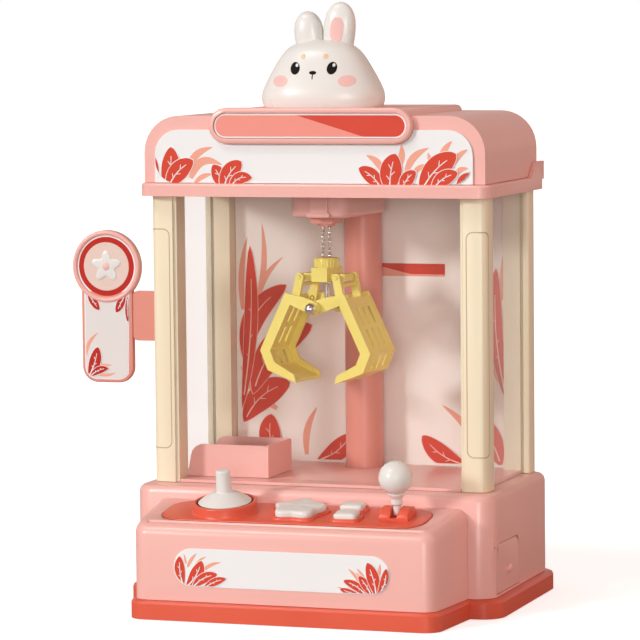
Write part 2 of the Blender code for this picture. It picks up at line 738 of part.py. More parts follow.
def joystick():
    """A dome on a gimbal. The base hangs under the panel and holds the gimbal's two pins."""
    under = red_low - gap
    pivot = (stick_x, 0, stick_pivot)
    base = rod("joystick_base", ring_outer, under - 9 * mm, under - 7 * mm, (stick_x, 0), look="grey",
               parent=plane, sides=24)
    post_x = 14.4 * mm
    for side in (-1, 1):
        x = stick_x + side * post_x
        join(base, block("post", (x - 0.9 * mm, -2.4 * mm, under - 8 * mm),
                         (x + 0.9 * mm, 2.4 * mm, stick_pivot + 2.4 * mm), parent=plane),
             rod("hanger", 1.2 * mm, under - 8 * mm, under, (stick_x + side * (ring_inner + 1.1 * mm), 0),
                 parent=plane, sides=10))
    cut(base, rod("post_holes", 1.1 * mm, stick_x - 19 * mm, stick_x + 19 * mm, (0, stick_pivot), "X",
                  parent=plane, sides=8))
    gimbal = rod("joystick_gimbal", 11.8 * mm, stick_pivot - 1.5 * mm, stick_pivot + 1.5 * mm,
                 (stick_x, 0), look="grey", parent=plane, pivot=pivot, sides=20)
    cut(gimbal, rod("gimbal_bore", 9 * mm, -2 * over, 2 * over, (stick_x, 0), parent=plane, sides=20))
    for side in (-1, 1):
        near, far = sorted((stick_x + side * 11 * mm, stick_x + side * 15 * mm))
        join(gimbal, rod("stub", 0.8 * mm, near, far, (0, stick_pivot), "X", parent=plane, sides=8))
    cut(gimbal, rod("cross_bore", 1.1 * mm, -15 * mm, 15 * mm, (stick_x, stick_pivot), "Y", parent=plane,
                    sides=8))
    top = stick_pivot + 27.5 * mm
    dome_low = stick_pivot + 6 * mm
    profile = [(0, top), (4.4 * mm, top), (5 * mm, top - 0.8 * mm), (5.6 * mm, dome_low + 2 * over),
               (6.2 * mm, dome_low + 8 * mm), (10 * mm, dome_low + 6.4 * mm),
               (14.4 * mm, dome_low + 3.6 * mm), (dome_radius, dome_low),
               (dome_radius, stick_pivot + 0.5 * mm), (dome_radius - dome_wall, stick_pivot + 0.5 * mm),
               (dome_radius - dome_wall, dome_low - 1 * mm), (3 * mm, dome_low),
               (3 * mm, stick_pivot - 3 * mm), (0, stick_pivot - 3 * mm)]
    stick = turned("joystick", profile, (stick_x, 0, 0), "white", plane, pivot, 28)
    join(stick, rod("cross_pin", 0.8 * mm, -10.9 * mm, 10.9 * mm, (stick_x, stick_pivot), "Y",
                    parent=plane, sides=8))


def lever():
    """A saddle with a slot, and a ball lever that rocks in it along the slope."""
    half_x, half_y = saddle_half
    low = red_proud + gap
    bow = [(lever_y - half_y, low), (lever_y + half_y, low)] + arc((lever_y, low + 1 * mm), half_y, 8, 172,
                                                                   10)
    bow = [(y, min(z, saddle_high)) for y, z in bow]
    saddle = slab("lever_saddle", bow, lever_x - half_x, lever_x + half_x, "X", "coral", plane,
                  round_high=0.8 * mm, round_low=0.8 * mm, segments=1)
    cut(saddle, block("saddle_slot", (lever_x - lever_slot[0], lever_y - lever_slot[1], low - over),
                      (lever_x + lever_slot[0], lever_y + lever_slot[1], saddle_high + over),
                      parent=plane), rod("saddle_bore", 1.5 * mm, lever_x - 8.4 * mm, lever_x + 8.4 * mm,
                                         (lever_y, lever_pivot), "X", parent=plane, sides=10))
    pivot = (lever_x, lever_y, lever_pivot)
    stick = rod("lever", lever_radius + 0.4 * mm, lever_pivot - 4 * mm, lever_ball_z, (lever_x, lever_y),
                look="white", parent=plane, pivot=pivot, sides=20, end_radius=lever_radius - 0.6 * mm)
    join(stick, ball("lever_ball", (lever_ball,) * 3, (lever_x, lever_y, lever_ball_z), parent=plane,
                     sides=20), rod("lever_axle", 1.2 * mm, lever_x - 8 * mm, lever_x + 8 * mm,
                                    (lever_y, lever_pivot), "X", parent=plane, sides=10),
         rod("yoke", 4.8 * mm, lever_x - 4.6 * mm, lever_x + 4.6 * mm, (lever_y, lever_pivot), "X",
             parent=plane, sides=16))


# ---------------------------------------------------------------- cabin


def pillars():
    low = deck + gap
    near = pillar_inner
    rows = {"front": (pillar_front, pillar_front + pillar_front_depth),
            "rear": (pillar_rear - pillar_rear_depth, pillar_rear)}
    for end, (y0, y1) in rows.items():
        for side_name, side in (("left", -1), ("right", 1)):
            corners = [(side * near, y0), (side * pillar_outer, y0), (side * pillar_outer, y1),
                       (side * near, y1)]
            radii = [0.8 * mm, pillar_corner, 1.5 * mm, 0] if end == "front" else [0, 1.5 * mm, 4 * mm,
                                                                                   0.8 * mm]
            pillar = slab(f"pillar_{end}_{side_name}", rounded(corners, radii, 3), low, cabin_top,
                          look="cream")
            x = side * side_glass_x
            bite = side_slot(y0, y1, end)
            cut(pillar, block("side_groove", (x - glass / 2 - gap, bite[0], low - over),
                              (x + glass / 2 + gap, bite[1], cabin_top + over)))
            if end == "front":
                x0, x1 = sorted((side * (near - over), side * (near + glass_bite + gap)))
                cut(pillar, block("front_groove", (x0, front_glass_y - glass / 2 - gap, low - over),
                                  (x1, front_glass_y + glass / 2 + gap, cabin_top + over)))


def side_slot(y0, y1, end):
    deep = glass_bite + gap
    return (y1 - deep, y1 + over) if end == "front" else (y0 - over, y0 + deep)


def windows():
    low = deck + gap
    high = cabin_top
    half = pillar_inner + glass_bite
    block("front_window", (-half, front_glass_y - glass / 2, low), (half, front_glass_y + glass / 2, high),
          "clear")
    y0 = pillar_front + pillar_front_depth - glass_bite
    y1 = pillar_rear - pillar_rear_depth + glass_bite
    for name, side in (("left", -1), ("right", 1)):
        x = side * side_glass_x
        block(f"{name}_window", (x - glass / 2, y0, low), (x + glass / 2, y1, high), "clear")


def back_door():
    """The printed back wall, which opens outwards on two pivots at its left edge."""
    axis_x, axis = back_axis()
    half = pillar_inner - gap
    inner = back_inner()
    low = deck + gap
    high = cabin_top - gap
    middle = (low + high) / 2
    door = block("back_door", (-half, inner, low), (half, inner + back_thick, high), "pale",
                 pivot=(axis_x, axis, 0))
    join(door, rod("door_barrel", 1.5 * mm, low, high, (axis_x, axis), sides=10),
         rod("door_pivots", pin_radius * 2, low - 2 * mm, high + 2.6 * mm, (axis_x, axis), sides=10),
         block("door_pull", (half - 14 * mm, inner + 2 * mm, middle - 15 * mm),
               (half - 10 * mm, inner + 7 * mm, middle + 15 * mm), soft=1 * mm, segments=1))
    return door


def sign():
    front = sign_y - sign_thick / 2
    rear = sign_y + sign_thick / 2
    panel_rear = front + board_thick
    inner = -pillar_outer - gap
    board_right = sign_x + board_half
    shape = rounded(box_outline(board_right + gap, arm_low, inner, arm_high), [3 * mm, 0, 0, 3 * mm], 3)
    slab("sign_bracket", shape, front, rear, "Y", "rose")
    top = disc_z - 6 * mm
    body = rounded([(sign_x - board_half, board_low), (board_right, board_low), (board_right, top),
                    (sign_x - board_half, top)], [10 * mm, 10 * mm, 0, 0], 4)
    board = slab("sign_board", body, front, panel_rear, "Y", "rose")
    cut(board, rod("disc_seat", disc_radius + gap, front - over, rear + over, (sign_x, disc_z), "Y",
                   sides=32))
    ear = arm_high - 10 * mm
    join(board, block("sign_tongue", (board_right - 6 * mm, front + 1 * mm, arm_low + 4 * mm),
                      (board_right, panel_rear + 1.5 * mm, ear)))
    disc = rod("sign_disc", disc_radius, front - 1.5 * mm, rear, (sign_x, disc_z), "Y", "coral", sides=32,
               soft=1 * mm)
    cut(disc, rod("disc_face", disc_radius - 4 * mm, front - over, front - 0.6 * mm, (sign_x, disc_z), "Y",
                  sides=32))


# ---------------------------------------------------------------- header


def lip_frame():
    outline = rounded(box_outline(-lip_half, lip_front, lip_half, lip_rear), lip_corner, 6)
    lip = slab("lip_frame", outline, lip_low, lip_high, look="pink", round_high=1.5 * mm,
               round_low=1.5 * mm, segments=2)
    inner_half = pillar_inner - 2 * mm
    cut(lip, block("lip_opening", (-inner_half, pillar_front + 5 * mm, lip_low - over),
                   (inner_half, back_inner() - play, lip_high + over)))
    cut(lip, rod("pivot_hole", pin_radius * 2 + gap, lip_low - over, lip_low + 4 * mm, back_axis(),
                 sides=10))
    ramp_end = lip_rear - 36 * mm
    ear = [(ramp_end, lip_high - 2 * mm), (lip_rear - 2 * mm, lip_high - 2 * mm),
           (lip_rear - 2 * mm, lip_ear), (ramp_end + 15 * mm, lip_ear)]
    for side in (-1, 1):
        x0, x1 = sorted((side * (header_half + gap), side * (lip_half - 0.4 * mm)))
        join(lip, slab("ear", ear, x0, x1, "X"))
    return lip


def header_outline(inset=0.0, low=lip_high + gap):
    half = header_half - inset
    return rounded([(-half, low), (half, low), (half, header_top - inset), (-half, header_top - inset)],
                   [0, 0, header_corner - inset, header_corner - inset], 10)


def header_shell():
    shell = slab("header_shell", header_outline(), header_front, header_rear, "Y", "pink",
                 round_high=header_round, round_low=header_round, segments=2)
    bump = rounded([(-bump_half, header_top - 8 * mm), (bump_half, header_top - 8 * mm),
                    (bump_half, bump_top), (-bump_half, bump_top)], [0, 0, 4 * mm, 4 * mm], 3)
    join(shell, slab("bump", bump, header_front + 0.5 * mm, header_rear - 3 * mm, "Y", round_high=2 * mm,
                     segments=2))
    cut(shell, slab("header_hollow", header_outline(wall, lip_high - 2 * over), header_front + wall,
                    header_rear - wall, "Y"))
    return shell


def front_panels():
    front = header_front - gap - panel_thick
    outline = rounded([(-panel_half, lip_high + gap), (panel_half, lip_high + gap),
                       (panel_half, panel_top), (-panel_half, panel_top)], [0, 0, 17 * mm, 17 * mm], 5)
    panel = slab("header_panel", outline, front, header_front - gap, "Y", "white")
    seat = stadium(-plate_half - gap, plate_low - gap, plate_half + gap, plate_high + gap)
    cut(panel, slab("plate_seat", seat, front - over, header_front + over, "Y"))
    plate_front = header_front - gap - plate_depth
    frame = slab("nameplate_frame", stadium(-plate_half, plate_low, plate_half, plate_high), plate_front,
                 header_front - gap, "Y", "pink", round_low=1.4 * mm, segments=2)
    inner = stadium(-plate_half + plate_rim, plate_low + plate_rim, plate_half - plate_rim,
                    plate_high - plate_rim)
    cut(frame, slab("insert_seat", inner, plate_front - over, plate_front + 3 * mm, "Y"))
    inset = plate_rim + gap
    slab("nameplate_insert", stadium(-plate_half + inset, plate_low + inset, plate_half - inset,
                                     plate_high - inset), plate_front + 1.2 * mm,
         plate_front + 3 * mm - gap, "Y", "coral")


def topper():
    """A round head with its widest part low down, and two ears that lean apart."""
    low = bump_top + gap
    middle = low + topper_middle
    head = ball("topper_head", (topper_half_width, topper_half_depth, topper_height - topper_middle),
                (topper_x, topper_y, middle), "white", sides=24)
    ears = ((8.5 * mm, 4, topper_top, 11.3 * mm), (-13.5 * mm, -6, topper_top - 5.5 * mm, 10.2 * mm))
    for x, lean, high, half in ears:
        length = (high - low) * 0.32
        turn = math.radians(lean)
        centre = (topper_x + x, topper_y + 5 * mm, high - length * math.cos(turn))
        join(head, ball("ear", (half, 6.5 * mm, length), centre, sides=16,
                        turn=Matrix.Rotation(turn, 4, "Y")))
    cut(head, block("topper_base", (-tray_half, -tray_half, low - 40 * mm), (tray_half, tray_half, low)))
    return head


# ---------------------------------------------------------------- crane


def gear_outline(teeth, phase, centre):
    """Straight-sided teeth: four points a tooth, on the root and tip circles."""
    pitch = module * teeth / 2
    tip, root = pitch + 0.9 * module, pitch - 1.1 * module
    step = 2 * math.pi / teeth
    points = []
    for tooth in range(teeth):
        for radius, share in ((root, -0.33), (tip, -0.13), (tip, 0.13), (root, 0.33)):
            angle = phase + step * (tooth + share)
            points.append((centre[0] + radius * math.cos(angle), centre[1] + radius * math.sin(angle)))
    return points


def pinion_centre():
    reach = module * (gear_teeth + pinion_teeth) / 2 + backlash
    return reach, axis_y


def swing_drive():
    """Gear on the column's foot, pinion and motor, and the bracket that carries them under the deck."""
    plate_high = gear_low - 4 * mm
    plate_low_z = plate_high - 2.4 * mm
    x, y = pinion_centre()
    column = rod("boom_column", column_radius, gear_high + gap, boom_low - gap, (0, axis_y), look="rose",
                 pivot=(0, axis_y, 0), sides=32)
    join(column, rod("journal", journal, plate_low_z - 1 * mm, gear_high + 2 * mm, (0, axis_y), sides=20))
    gear = slab("column_gear", gear_outline(gear_teeth, 0, (0, axis_y)), gear_low, gear_high, look="nylon",
                pivot=(0, axis_y, 0))
    join(gear, rod("gear_hub", 8 * mm, plate_high + gap, gear_low + 1 * mm, (0, axis_y), sides=20))
    cut(gear, rod("gear_bore", journal + gap, plate_high - over, gear_high + over, (0, axis_y), sides=20))
    half_step = math.pi / pinion_teeth
    pinion = slab("swing_pinion", gear_outline(pinion_teeth, math.pi + half_step, (x, y)), gear_low,
                  gear_high, look="nylon", pivot=(x, y, 0))
    cut(pinion, rod("pinion_bore", 1.4 * mm, gear_low - over, gear_low + 6 * mm, (x, y), sides=10))
    bracket = slab("swing_bracket", rounded(box_outline(-24 * mm, axis_y - 17 * mm, x + 14 * mm,
                                                        axis_y + 17 * mm), 4 * mm, 2), plate_low_z,
                   plate_high, look="grey")
    deck_under = deck - wall - gap
    for post_x, post_y in ((-21 * mm, -14 * mm), (-21 * mm, 14 * mm), (x + 11 * mm, -14 * mm),
                           (x + 11 * mm, 14 * mm)):
        join(bracket, rod("leg", 2.4 * mm, plate_high - 1 * mm, deck_under, (post_x, axis_y + post_y),
                          sides=10))
    cut(bracket, rod("journal_way", journal + gap, plate_low_z - over, plate_high + over, (0, axis_y),
                     sides=20), rod("shaft_way", 2 * mm, plate_low_z - over, plate_high + over, (x, y),
                                    sides=12))
    motor = rod("swing_motor", motor_radius, plate_low_z - 18 * mm, plate_low_z - gap, (x, y),
                look="steel", sides=20)
    join(motor, rod("motor_shaft", 1.1 * mm, plate_low_z - 2 * mm, gear_low + 5 * mm, (x, y), sides=10))
    bridge_low = boom_high + 3 * mm
    bridge_half = header_half - wall - gap
    bridge = block("top_bridge", (-bridge_half, axis_y - 11 * mm, bridge_low),
                   (bridge_half, axis_y + 11 * mm, bridge_low + 3 * mm), "grey")
    cut(bridge, rod("bridge_bore", 3.4 * mm, bridge_low - over, bridge_low + 2 * over, (0, axis_y),
                    sides=14))


def boom():
    """A channel open above, with a slot in its floor for the trolley's guide block."""
    tail = arc((0, 0), boom_back, 20, 160, 8)
    nose = rounded([(-boom_shoulder, -8 * mm), (-boom_half, -boom_reach), (boom_half, -boom_reach),
                    (boom_shoulder, -8 * mm)], [0, 7 * mm, 7 * mm, 0], 4)
    outline = nose + tail
    arm = slab("boom_arm", outline, boom_low, boom_high, look="rose", parent=boom_frame,
               round_low=3.2 * mm, segments=3)
    inner = rounded([(-boom_shoulder + wall, -17 * mm), (-boom_half + wall, -boom_reach + wall),
                     (boom_half - wall, -boom_reach + wall), (boom_shoulder - wall, -17 * mm)],
                    [0, 4.4 * mm, 4.4 * mm, 0], 3)
    cut(arm, slab("channel", inner, boom_low + wall, boom_high + over, parent=boom_frame))
    slot_half = guide_half + play
    cut(arm, block("boom_slot", (-slot_half, -claw_reach - guide_half - play, boom_low - over),
                   (slot_half, -claw_reach + trolley_travel + guide_half + play, boom_low + 2 * over),
                   parent=boom_frame))
    join(arm, rod("top_pin", 3 * mm, boom_high - 1 * mm, boom_high + 5.4 * mm, (0, 0), parent=boom_frame,
                  sides=14))
    return arm


def trolley():
    """It slides on the channel's floor. Two ears carry the drum, and a pocket holds the motor."""
    low = boom_low + wall + gap
    y = -claw_reach
    half = boom_half - wall - 2.2 * mm
    base_high = low + 4 * mm
    body = block("trolley", (-half, y - 10 * mm, low), (half, y + 17 * mm, base_high), "pale", boom_frame,
                 (0, y, 0))
    join(body, block("guide", (-guide_half, y - guide_half, guide_low),
                     (guide_half, y + guide_half, low + 1 * mm), parent=boom_frame),
         rod("nozzle", 6 * mm, nozzle_low, guide_low + 1 * mm, (0, y), parent=boom_frame, sides=16))
    drum_y = y + chain_radius + drum_radius + gap
    for x in (-10.4 * mm, 7.9 * mm):
        join(body, block("drum_ear", (x, drum_y - 3 * mm, base_high - 1 * mm),
                         (x + 2.5 * mm, drum_y + 3 * mm, drum_z + 3 * mm), parent=boom_frame))
    cut(body, slab("chain_way", rounded(box_outline(-chain_spacing / 2 - 2.4 * mm, y - 2.4 * mm,
                                                    chain_spacing / 2 + 2.4 * mm, y + 2.4 * mm), 2 * mm,
                                        3), nozzle_low - over, low + 2 * over, parent=boom_frame),
        rod("drum_bore", 1.6 * mm, -15 * mm, 15 * mm, (drum_y, drum_z), "X", parent=boom_frame, sides=10))
    drum = rod("winch_drum", drum_radius, -7.4 * mm, 7.4 * mm, (drum_y, drum_z), "X", "nylon", boom_frame,
               (0, drum_y, drum_z), sides=20)
    join(drum, rod("drum_axle", 1.3 * mm, -10 * mm, 10 * mm, (drum_y, drum_z), "X", parent=boom_frame,
                   sides=10))
    block("winch_motor", (10.4 * mm + gap, drum_y - 5.5 * mm, base_high + gap),
          (half - 0.2 * mm, drum_y + 5.5 * mm, drum_z + 5 * mm), "steel", boom_frame, soft=1 * mm,
          segments=1)


def claw_hub():
    hub = rod("claw_hub", hub_radius, hub_low, hub_top, (0, 0), look="yellow", parent=claw_frame, sides=24,
              soft=0.7 * mm)
    beam = 3 * mm
    depth = link_far + 0.4 * mm
    join(hub, block("core", (-6 * mm, -link_near, lug_z - 3 * mm), (6 * mm, link_near, hub_low + 1 * mm),
                    parent=claw_frame), block("cross", (-lug_x - beam, -6 * mm, lug_z - 2.4 * mm),
                                              (lug_x + beam, 6 * mm, lug_z + 2.4 * mm), parent=claw_frame))
    for side in (-1, 1):
        join(hub, rod("lug_pin", link_pin, -depth, depth, (side * lug_x, lug_z), "Y", parent=claw_frame,
                      sides=10))
    cut(hub, rod("plunger_way", 2.4 * mm, lug_z - 9 * mm, hub_low + 1.5 * mm, (0, 0), parent=claw_frame,
                 sides=12))
    for name, side in (("left", -1), ("right", 1)):
        rod(f"chain_{name}", chain_radius, hub_top + gap, chain_top, (side * chain_spacing / 2, 0),
            look="steel", parent=claw_frame, sides=8)
    plunger = rod("claw_pin", claw_pin_radius, -jaw_depth - 1.6 * mm, jaw_depth + 1.6 * mm, (0, pin_z),
                  "Y", "steel", claw_frame, (0, 0, pin_z), sides=12)
    join(plunger, rod("plunger", 1.9 * mm, pin_z, hub_low - 1 * mm, (0, 0), parent=claw_frame, sides=12))
    for side in (-1, 1):
        join(plunger, ball("pin_ball", (claw_ball,) * 3, (0, side * (jaw_depth + gap + claw_ball), pin_z),
                           parent=claw_frame, sides=14))


def jaw_profile():
    """The band seen from the front: out along jaw_outer, back along the same line moved in by the band."""
    outer = [Vector((x * mm, pin_z + z * mm)) for x, z in jaw_outer]
    inner = []
    for i, here in enumerate(outer):
        before = (here - outer[i - 1]).normalized() if i else (outer[1] - here).normalized()
        after = (outer[i + 1] - here).normalized() if i + 1 < len(outer) else before
        normals = [Vector((d.y, -d.x)) for d in (before, after)]
        middle = (normals[0] + normals[1]).normalized()
        inner.append(here + middle * jaw_band / middle.dot(normals[0]))
    inner[-1] = outer[-1] + Vector((4.5 * mm, 5.5 * mm)) - Vector((3 * mm, 0))
    return outer, inner


def jaw(name, side):
    """Two bent plates joined by a slotted outer skin. The two jaws are the same piece, turned about."""
    outer, inner = jaw_profile()
    y_near, y_far = -jaw_depth, jaw_depth - jaw_plate - gap
    if side > 0:
        y_near, y_far = -y_far, -y_near
    flip = lambda points: [(side * p.x, p.y) for p in points]
    eye = [Vector(p) for p in arc((0, pin_z), 5 * mm, 100, 270, 6)]
    band = flip(eye + inner[1:] + outer[::-1])
    shift = (outer[2] - outer[1]) * 0.06
    tops = [outer[1] + shift, inner[1] + shift]
    rows = [tops] + [list(pair) for pair in zip(outer[2:], inner[2:])]
    skin_out, skin_in = ([near + (far - near) * share for near, far in rows] for share in (0.04, 0.38))
    skin = flip(skin_out + skin_in[::-1])
    body = slab(name, skin, y_near + 0.5 * mm, y_far - 0.5 * mm, "Y", "yellow", claw_frame, (0, 0, pin_z))
    for y in (y_near, y_far - jaw_plate):
        join(body, slab("plate", band, y, y + jaw_plate, "Y", parent=claw_frame))
        reach = link_near - gap
        inward = (y + 1 * mm, -reach) if y < 0 else (reach, y + 1 * mm)
        join(body, rod("stub", link_pin, *inward, (side * shoulder_x, shoulder_z), "Y", parent=claw_frame,
                       sides=8))
    cut(body, rod("jaw_bore", claw_pin_radius + gap, -30 * mm, 30 * mm, (0, pin_z), "Y", parent=claw_frame,
                  sides=12))
    middle_y = (y_near + y_far) / 2
    for first, last, start, end in ((1, 2, 0.24, 0.52), (1, 2, 0.60, 0.88), (2, 3, 0.18, 0.82)):
        run = outer[last] - outer[first]
        along = run.normalized()
        across = Vector((-along.y, along.x))
        for step in (-1, 0, 1):
            ends = [outer[first] + run * share for share in (start, end)]
            corners = [ends[0] + across * 9 * mm, ends[1] + across * 9 * mm, ends[1] - across * 5.2 * mm,
                       ends[0] - across * 5.2 * mm]
            y = middle_y + step * 8.4 * mm
            cut(body, slab("slot", flip(corners), y - 1.5 * mm, y + 1.5 * mm, "Y", parent=claw_frame))
    return body


def link(name, side):
    """A yoke from the hub's pin down to the jaw's shoulder. Its lower eye is the linkage's open pivot."""
    top, low = Vector((side * lug_x, lug_z)), Vector((side * shoulder_x, shoulder_z))
    run = (low - top).normalized()
    across = Vector((-run.y, run.x)) * link_half
    ends = (top - run * link_half, low + run * link_half)
    shape = rounded([tuple(ends[0] - across), tuple(ends[1] - across), tuple(ends[1] + across),
                     tuple(ends[0] + across)], 1.8 * mm, 2)
    body = slab(name, shape, -link_far, -link_near, "Y", "yellow", claw_frame, (side * lug_x, 0, lug_z))
    bar = top + run * 5.2 * mm
    join(body, slab("arm", shape, link_near, link_far, "Y", parent=claw_frame),
         rod("bar", 1.5 * mm, -link_near - 1 * mm, link_near + 1 * mm, bar, "Y", parent=claw_frame,
             sides=10))
    cut(body, rod("top_eye", link_pin + gap, -jaw_depth, jaw_depth, top, "Y", parent=claw_frame, sides=10),
        rod("open_eye", link_pin + open_pivot_play, -jaw_depth, jaw_depth, low, "Y", parent=claw_frame,
            sides=10))
    return body


# ---------------------------------------------------------------- build


def build():
    base_tray()
    power_and_sound()
    base_shell()
    rear_fittings()
    prize_door()
    ramp()
    play_floor()
    chute_fence()
    console_shell()
    control_panel()
    buttons()
    joystick()
    lever()
    pillars()
    windows()
    back_door()
    sign()
    lip_frame()
    header_shell()
    front_panels()
    topper()
    swing_drive()
    boom()
    trolley()
    claw_hub()
    jaw("jaw_left", -1)
    jaw("jaw_right", 1)
    link("link_left", -1)
    link("link_right", 1)


for item in list(bpy.data.objects):
    bpy.data.objects.remove(item, do_unlink=True)
parts = collection("claw_crane_machine")
tools = collection("cutters")
finish("pink", (0.89, 0.45, 0.40), 0.32)
finish("coral", (0.78, 0.12, 0.07), 0.32)
finish("rose", (0.75, 0.30, 0.25), 0.35)
finish("cream", (0.86, 0.80, 0.63), 0.35)
finish("pale", (0.90, 0.72, 0.66), 0.45)
finish("white", (0.86, 0.84, 0.81), 0.3)
finish("yellow", (0.86, 0.68, 0.25), 0.3)
finish("grey", (0.30, 0.30, 0.31), 0.5)
finish("nylon", (0.85, 0.84, 0.80), 0.45)
finish("steel", (0.60, 0.60, 0.62), 0.25, 1.0)
finish("board", (0.05, 0.25, 0.12), 0.5)
finish("clear", (0.95, 0.97, 1.0), 0.05, 0.0, 0.15)
plane = empty("console_plane", (0, panel_y, slope_height(panel_y)), (console_slope, 0, 0))
boom_frame = empty("boom_frame", (0, axis_y, 0), (0, 0, rest_turn))
claw_frame = empty("claw_frame", (claw_reach * math.sin(rest_turn),
                                  axis_y - claw_reach * math.cos(rest_turn), 0), (0, 0, claw_turn))
bpy.context.view_layer.update()
build()
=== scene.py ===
import json
import math

import bmesh
import bpy
import numpy as np
from mathutils import Matrix, Vector

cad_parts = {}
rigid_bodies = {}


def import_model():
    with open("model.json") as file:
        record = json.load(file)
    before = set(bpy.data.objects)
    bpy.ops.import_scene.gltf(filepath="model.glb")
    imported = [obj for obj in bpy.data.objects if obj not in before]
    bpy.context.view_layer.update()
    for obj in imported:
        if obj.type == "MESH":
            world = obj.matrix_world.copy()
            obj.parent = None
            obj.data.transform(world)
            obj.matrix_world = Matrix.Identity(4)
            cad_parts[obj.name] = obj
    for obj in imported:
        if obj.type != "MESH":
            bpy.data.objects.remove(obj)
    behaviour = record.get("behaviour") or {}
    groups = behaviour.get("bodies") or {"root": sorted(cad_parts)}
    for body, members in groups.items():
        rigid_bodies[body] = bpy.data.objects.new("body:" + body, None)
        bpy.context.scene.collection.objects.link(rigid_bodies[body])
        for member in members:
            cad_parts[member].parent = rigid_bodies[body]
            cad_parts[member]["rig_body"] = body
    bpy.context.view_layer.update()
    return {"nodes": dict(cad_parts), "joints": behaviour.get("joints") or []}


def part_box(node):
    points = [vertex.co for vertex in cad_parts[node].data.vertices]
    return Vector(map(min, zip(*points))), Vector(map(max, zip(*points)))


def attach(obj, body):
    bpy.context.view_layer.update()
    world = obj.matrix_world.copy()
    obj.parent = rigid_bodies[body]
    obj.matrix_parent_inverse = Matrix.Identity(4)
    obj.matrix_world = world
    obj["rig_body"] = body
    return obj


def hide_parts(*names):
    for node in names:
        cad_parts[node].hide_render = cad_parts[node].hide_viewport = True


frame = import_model()
mm = 0.001  # shapes are worked out in millimetres, and piece() scales them to metres
joints = {joint["name"]: joint for joint in frame["joints"]}
print("frame loaded:", len(frame["nodes"]), "nodes")

# Camera and studio

view = {"target": (-14.3, -5, 189.7), "azimuth": 19.06, "elevation": 4.98, "roll": -0.57,
        "distance": 2437.5, "lens": 200.4, "sensor": 36, "near": 0.05, "far": 50}
# azimuth, elevation, spread, strength and colour
suns = {"keySun": (-36, 16, 9, 1.34, (0.985, 1.0, 1.01)),
        "frontSun": (17, 2, 20, 1.08, (1.0, 0.985, 0.97)),
        "topSun": (-40, 50, 16, 0.72, (1.0, 1.0, 0.97)),
        "rimSun": (104, 14, 40, 0.62, (1.0, 0.5, 0.36))}
studio = {"tone": (1.0, 0.84, 0.77, 1), "level": 0.56, "zenith": 0.3, "sunOff": 3, "floorHalf": 30.0,
          "floorHigh": -0.3 * mm}


def facing(azimuth, elevation):
    # the direction of a viewer or a lamp, from straight in front, and the turn that looks back from there
    turn, rise = math.radians(azimuth), math.radians(elevation)
    back = Vector((math.sin(turn) * math.cos(rise), -math.cos(turn) * math.cos(rise), math.sin(rise)))
    return back, (-back).to_track_quat("-Z", "Y")


def makeCamera():
    data = bpy.data.cameras.new("camera")
    data.lens = view["lens"]
    data.sensor_width = view["sensor"]
    data.clip_start, data.clip_end = view["near"], view["far"]
    camera = bpy.data.objects.new("camera", data)
    bpy.context.scene.collection.objects.link(camera)
    back, aim = facing(view["azimuth"], view["elevation"])
    aim = aim @ Matrix.Rotation(math.radians(view["roll"]), 3, "Z").to_quaternion()
    place = Vector(view["target"]) + back * view["distance"]
    camera.matrix_world = Matrix.Translation(place * mm) @ aim.to_matrix().to_4x4()
    bpy.context.scene.camera = camera


def makeSun(name, azimuth, elevation, spread, strength, colour):
    data = bpy.data.lights.new(name, "SUN")
    data.angle = math.radians(spread)
    data.energy = strength
    data.color = colour
    light = bpy.data.objects.new(name, data)
    back, aim = facing(azimuth, elevation)
    light.matrix_world = Matrix.Translation(back * studio["sunOff"]) @ aim.to_matrix().to_4x4()
    bpy.context.scene.collection.objects.link(light)


def makeStudio():
    for name, settings in suns.items():
        makeSun(name, *settings)
    world = bpy.data.worlds.new("studio")
    world.use_nodes = True
    make = nodeMaker(world.node_tree)
    # the camera sees plain white, and the object is lit a little warmer, and less from high up
    seen = make("ShaderNodeLightPath").outputs["Is Camera Ray"]
    rise = make("ShaderNodeSeparateXYZ", {"Vector": make("ShaderNodeTexCoord").outputs["Generated"]})
    dome = ranged(make, rise.outputs["Z"], 0, 1, studio["level"], studio["zenith"])
    feed(world.node_tree.nodes["Background"], {"Color": mixed(make, seen, studio["tone"], (1, 1, 1, 1)),
                                               "Strength": ranged(make, seen, 0, 1, dome, 1)})
    bpy.context.scene.world = world
    bpy.context.scene.view_settings.view_transform = "Standard"
    half, high = studio["floorHalf"], studio["floorHigh"]
    corners = np.array([(-half, -half, high), (-half, half, high), (half, half, high), (half, -half, high)])
    floor = bpy.data.objects.new("floor", meshOf("floor", corners, [(0, 1, 2, 3)]))
    floor.data.materials.append(floorFinish())
    bpy.context.scene.collection.objects.link(floor)


# Shapes: every one is (points, faces), with points an (n, 3) array


def fullTurn(sides):
    return np.linspace(0, 2 * math.pi, sides, endpoint=False)


def bent(wave, power):
    # a sine or cosine raised to a power, with its sign kept
    return np.sign(wave) * np.abs(wave) ** power


def polar(radius, angle, height):
    # a ring round Z; the radius and the height may change with the angle
    return np.stack([radius * np.cos(angle), radius * np.sin(angle), np.zeros_like(angle) + height], 1)


def raised(flat, height, axis="Z"):
    # a flat ring set at a height along an axis
    return np.insert(flat, "XYZ".index(axis), height, axis=1)


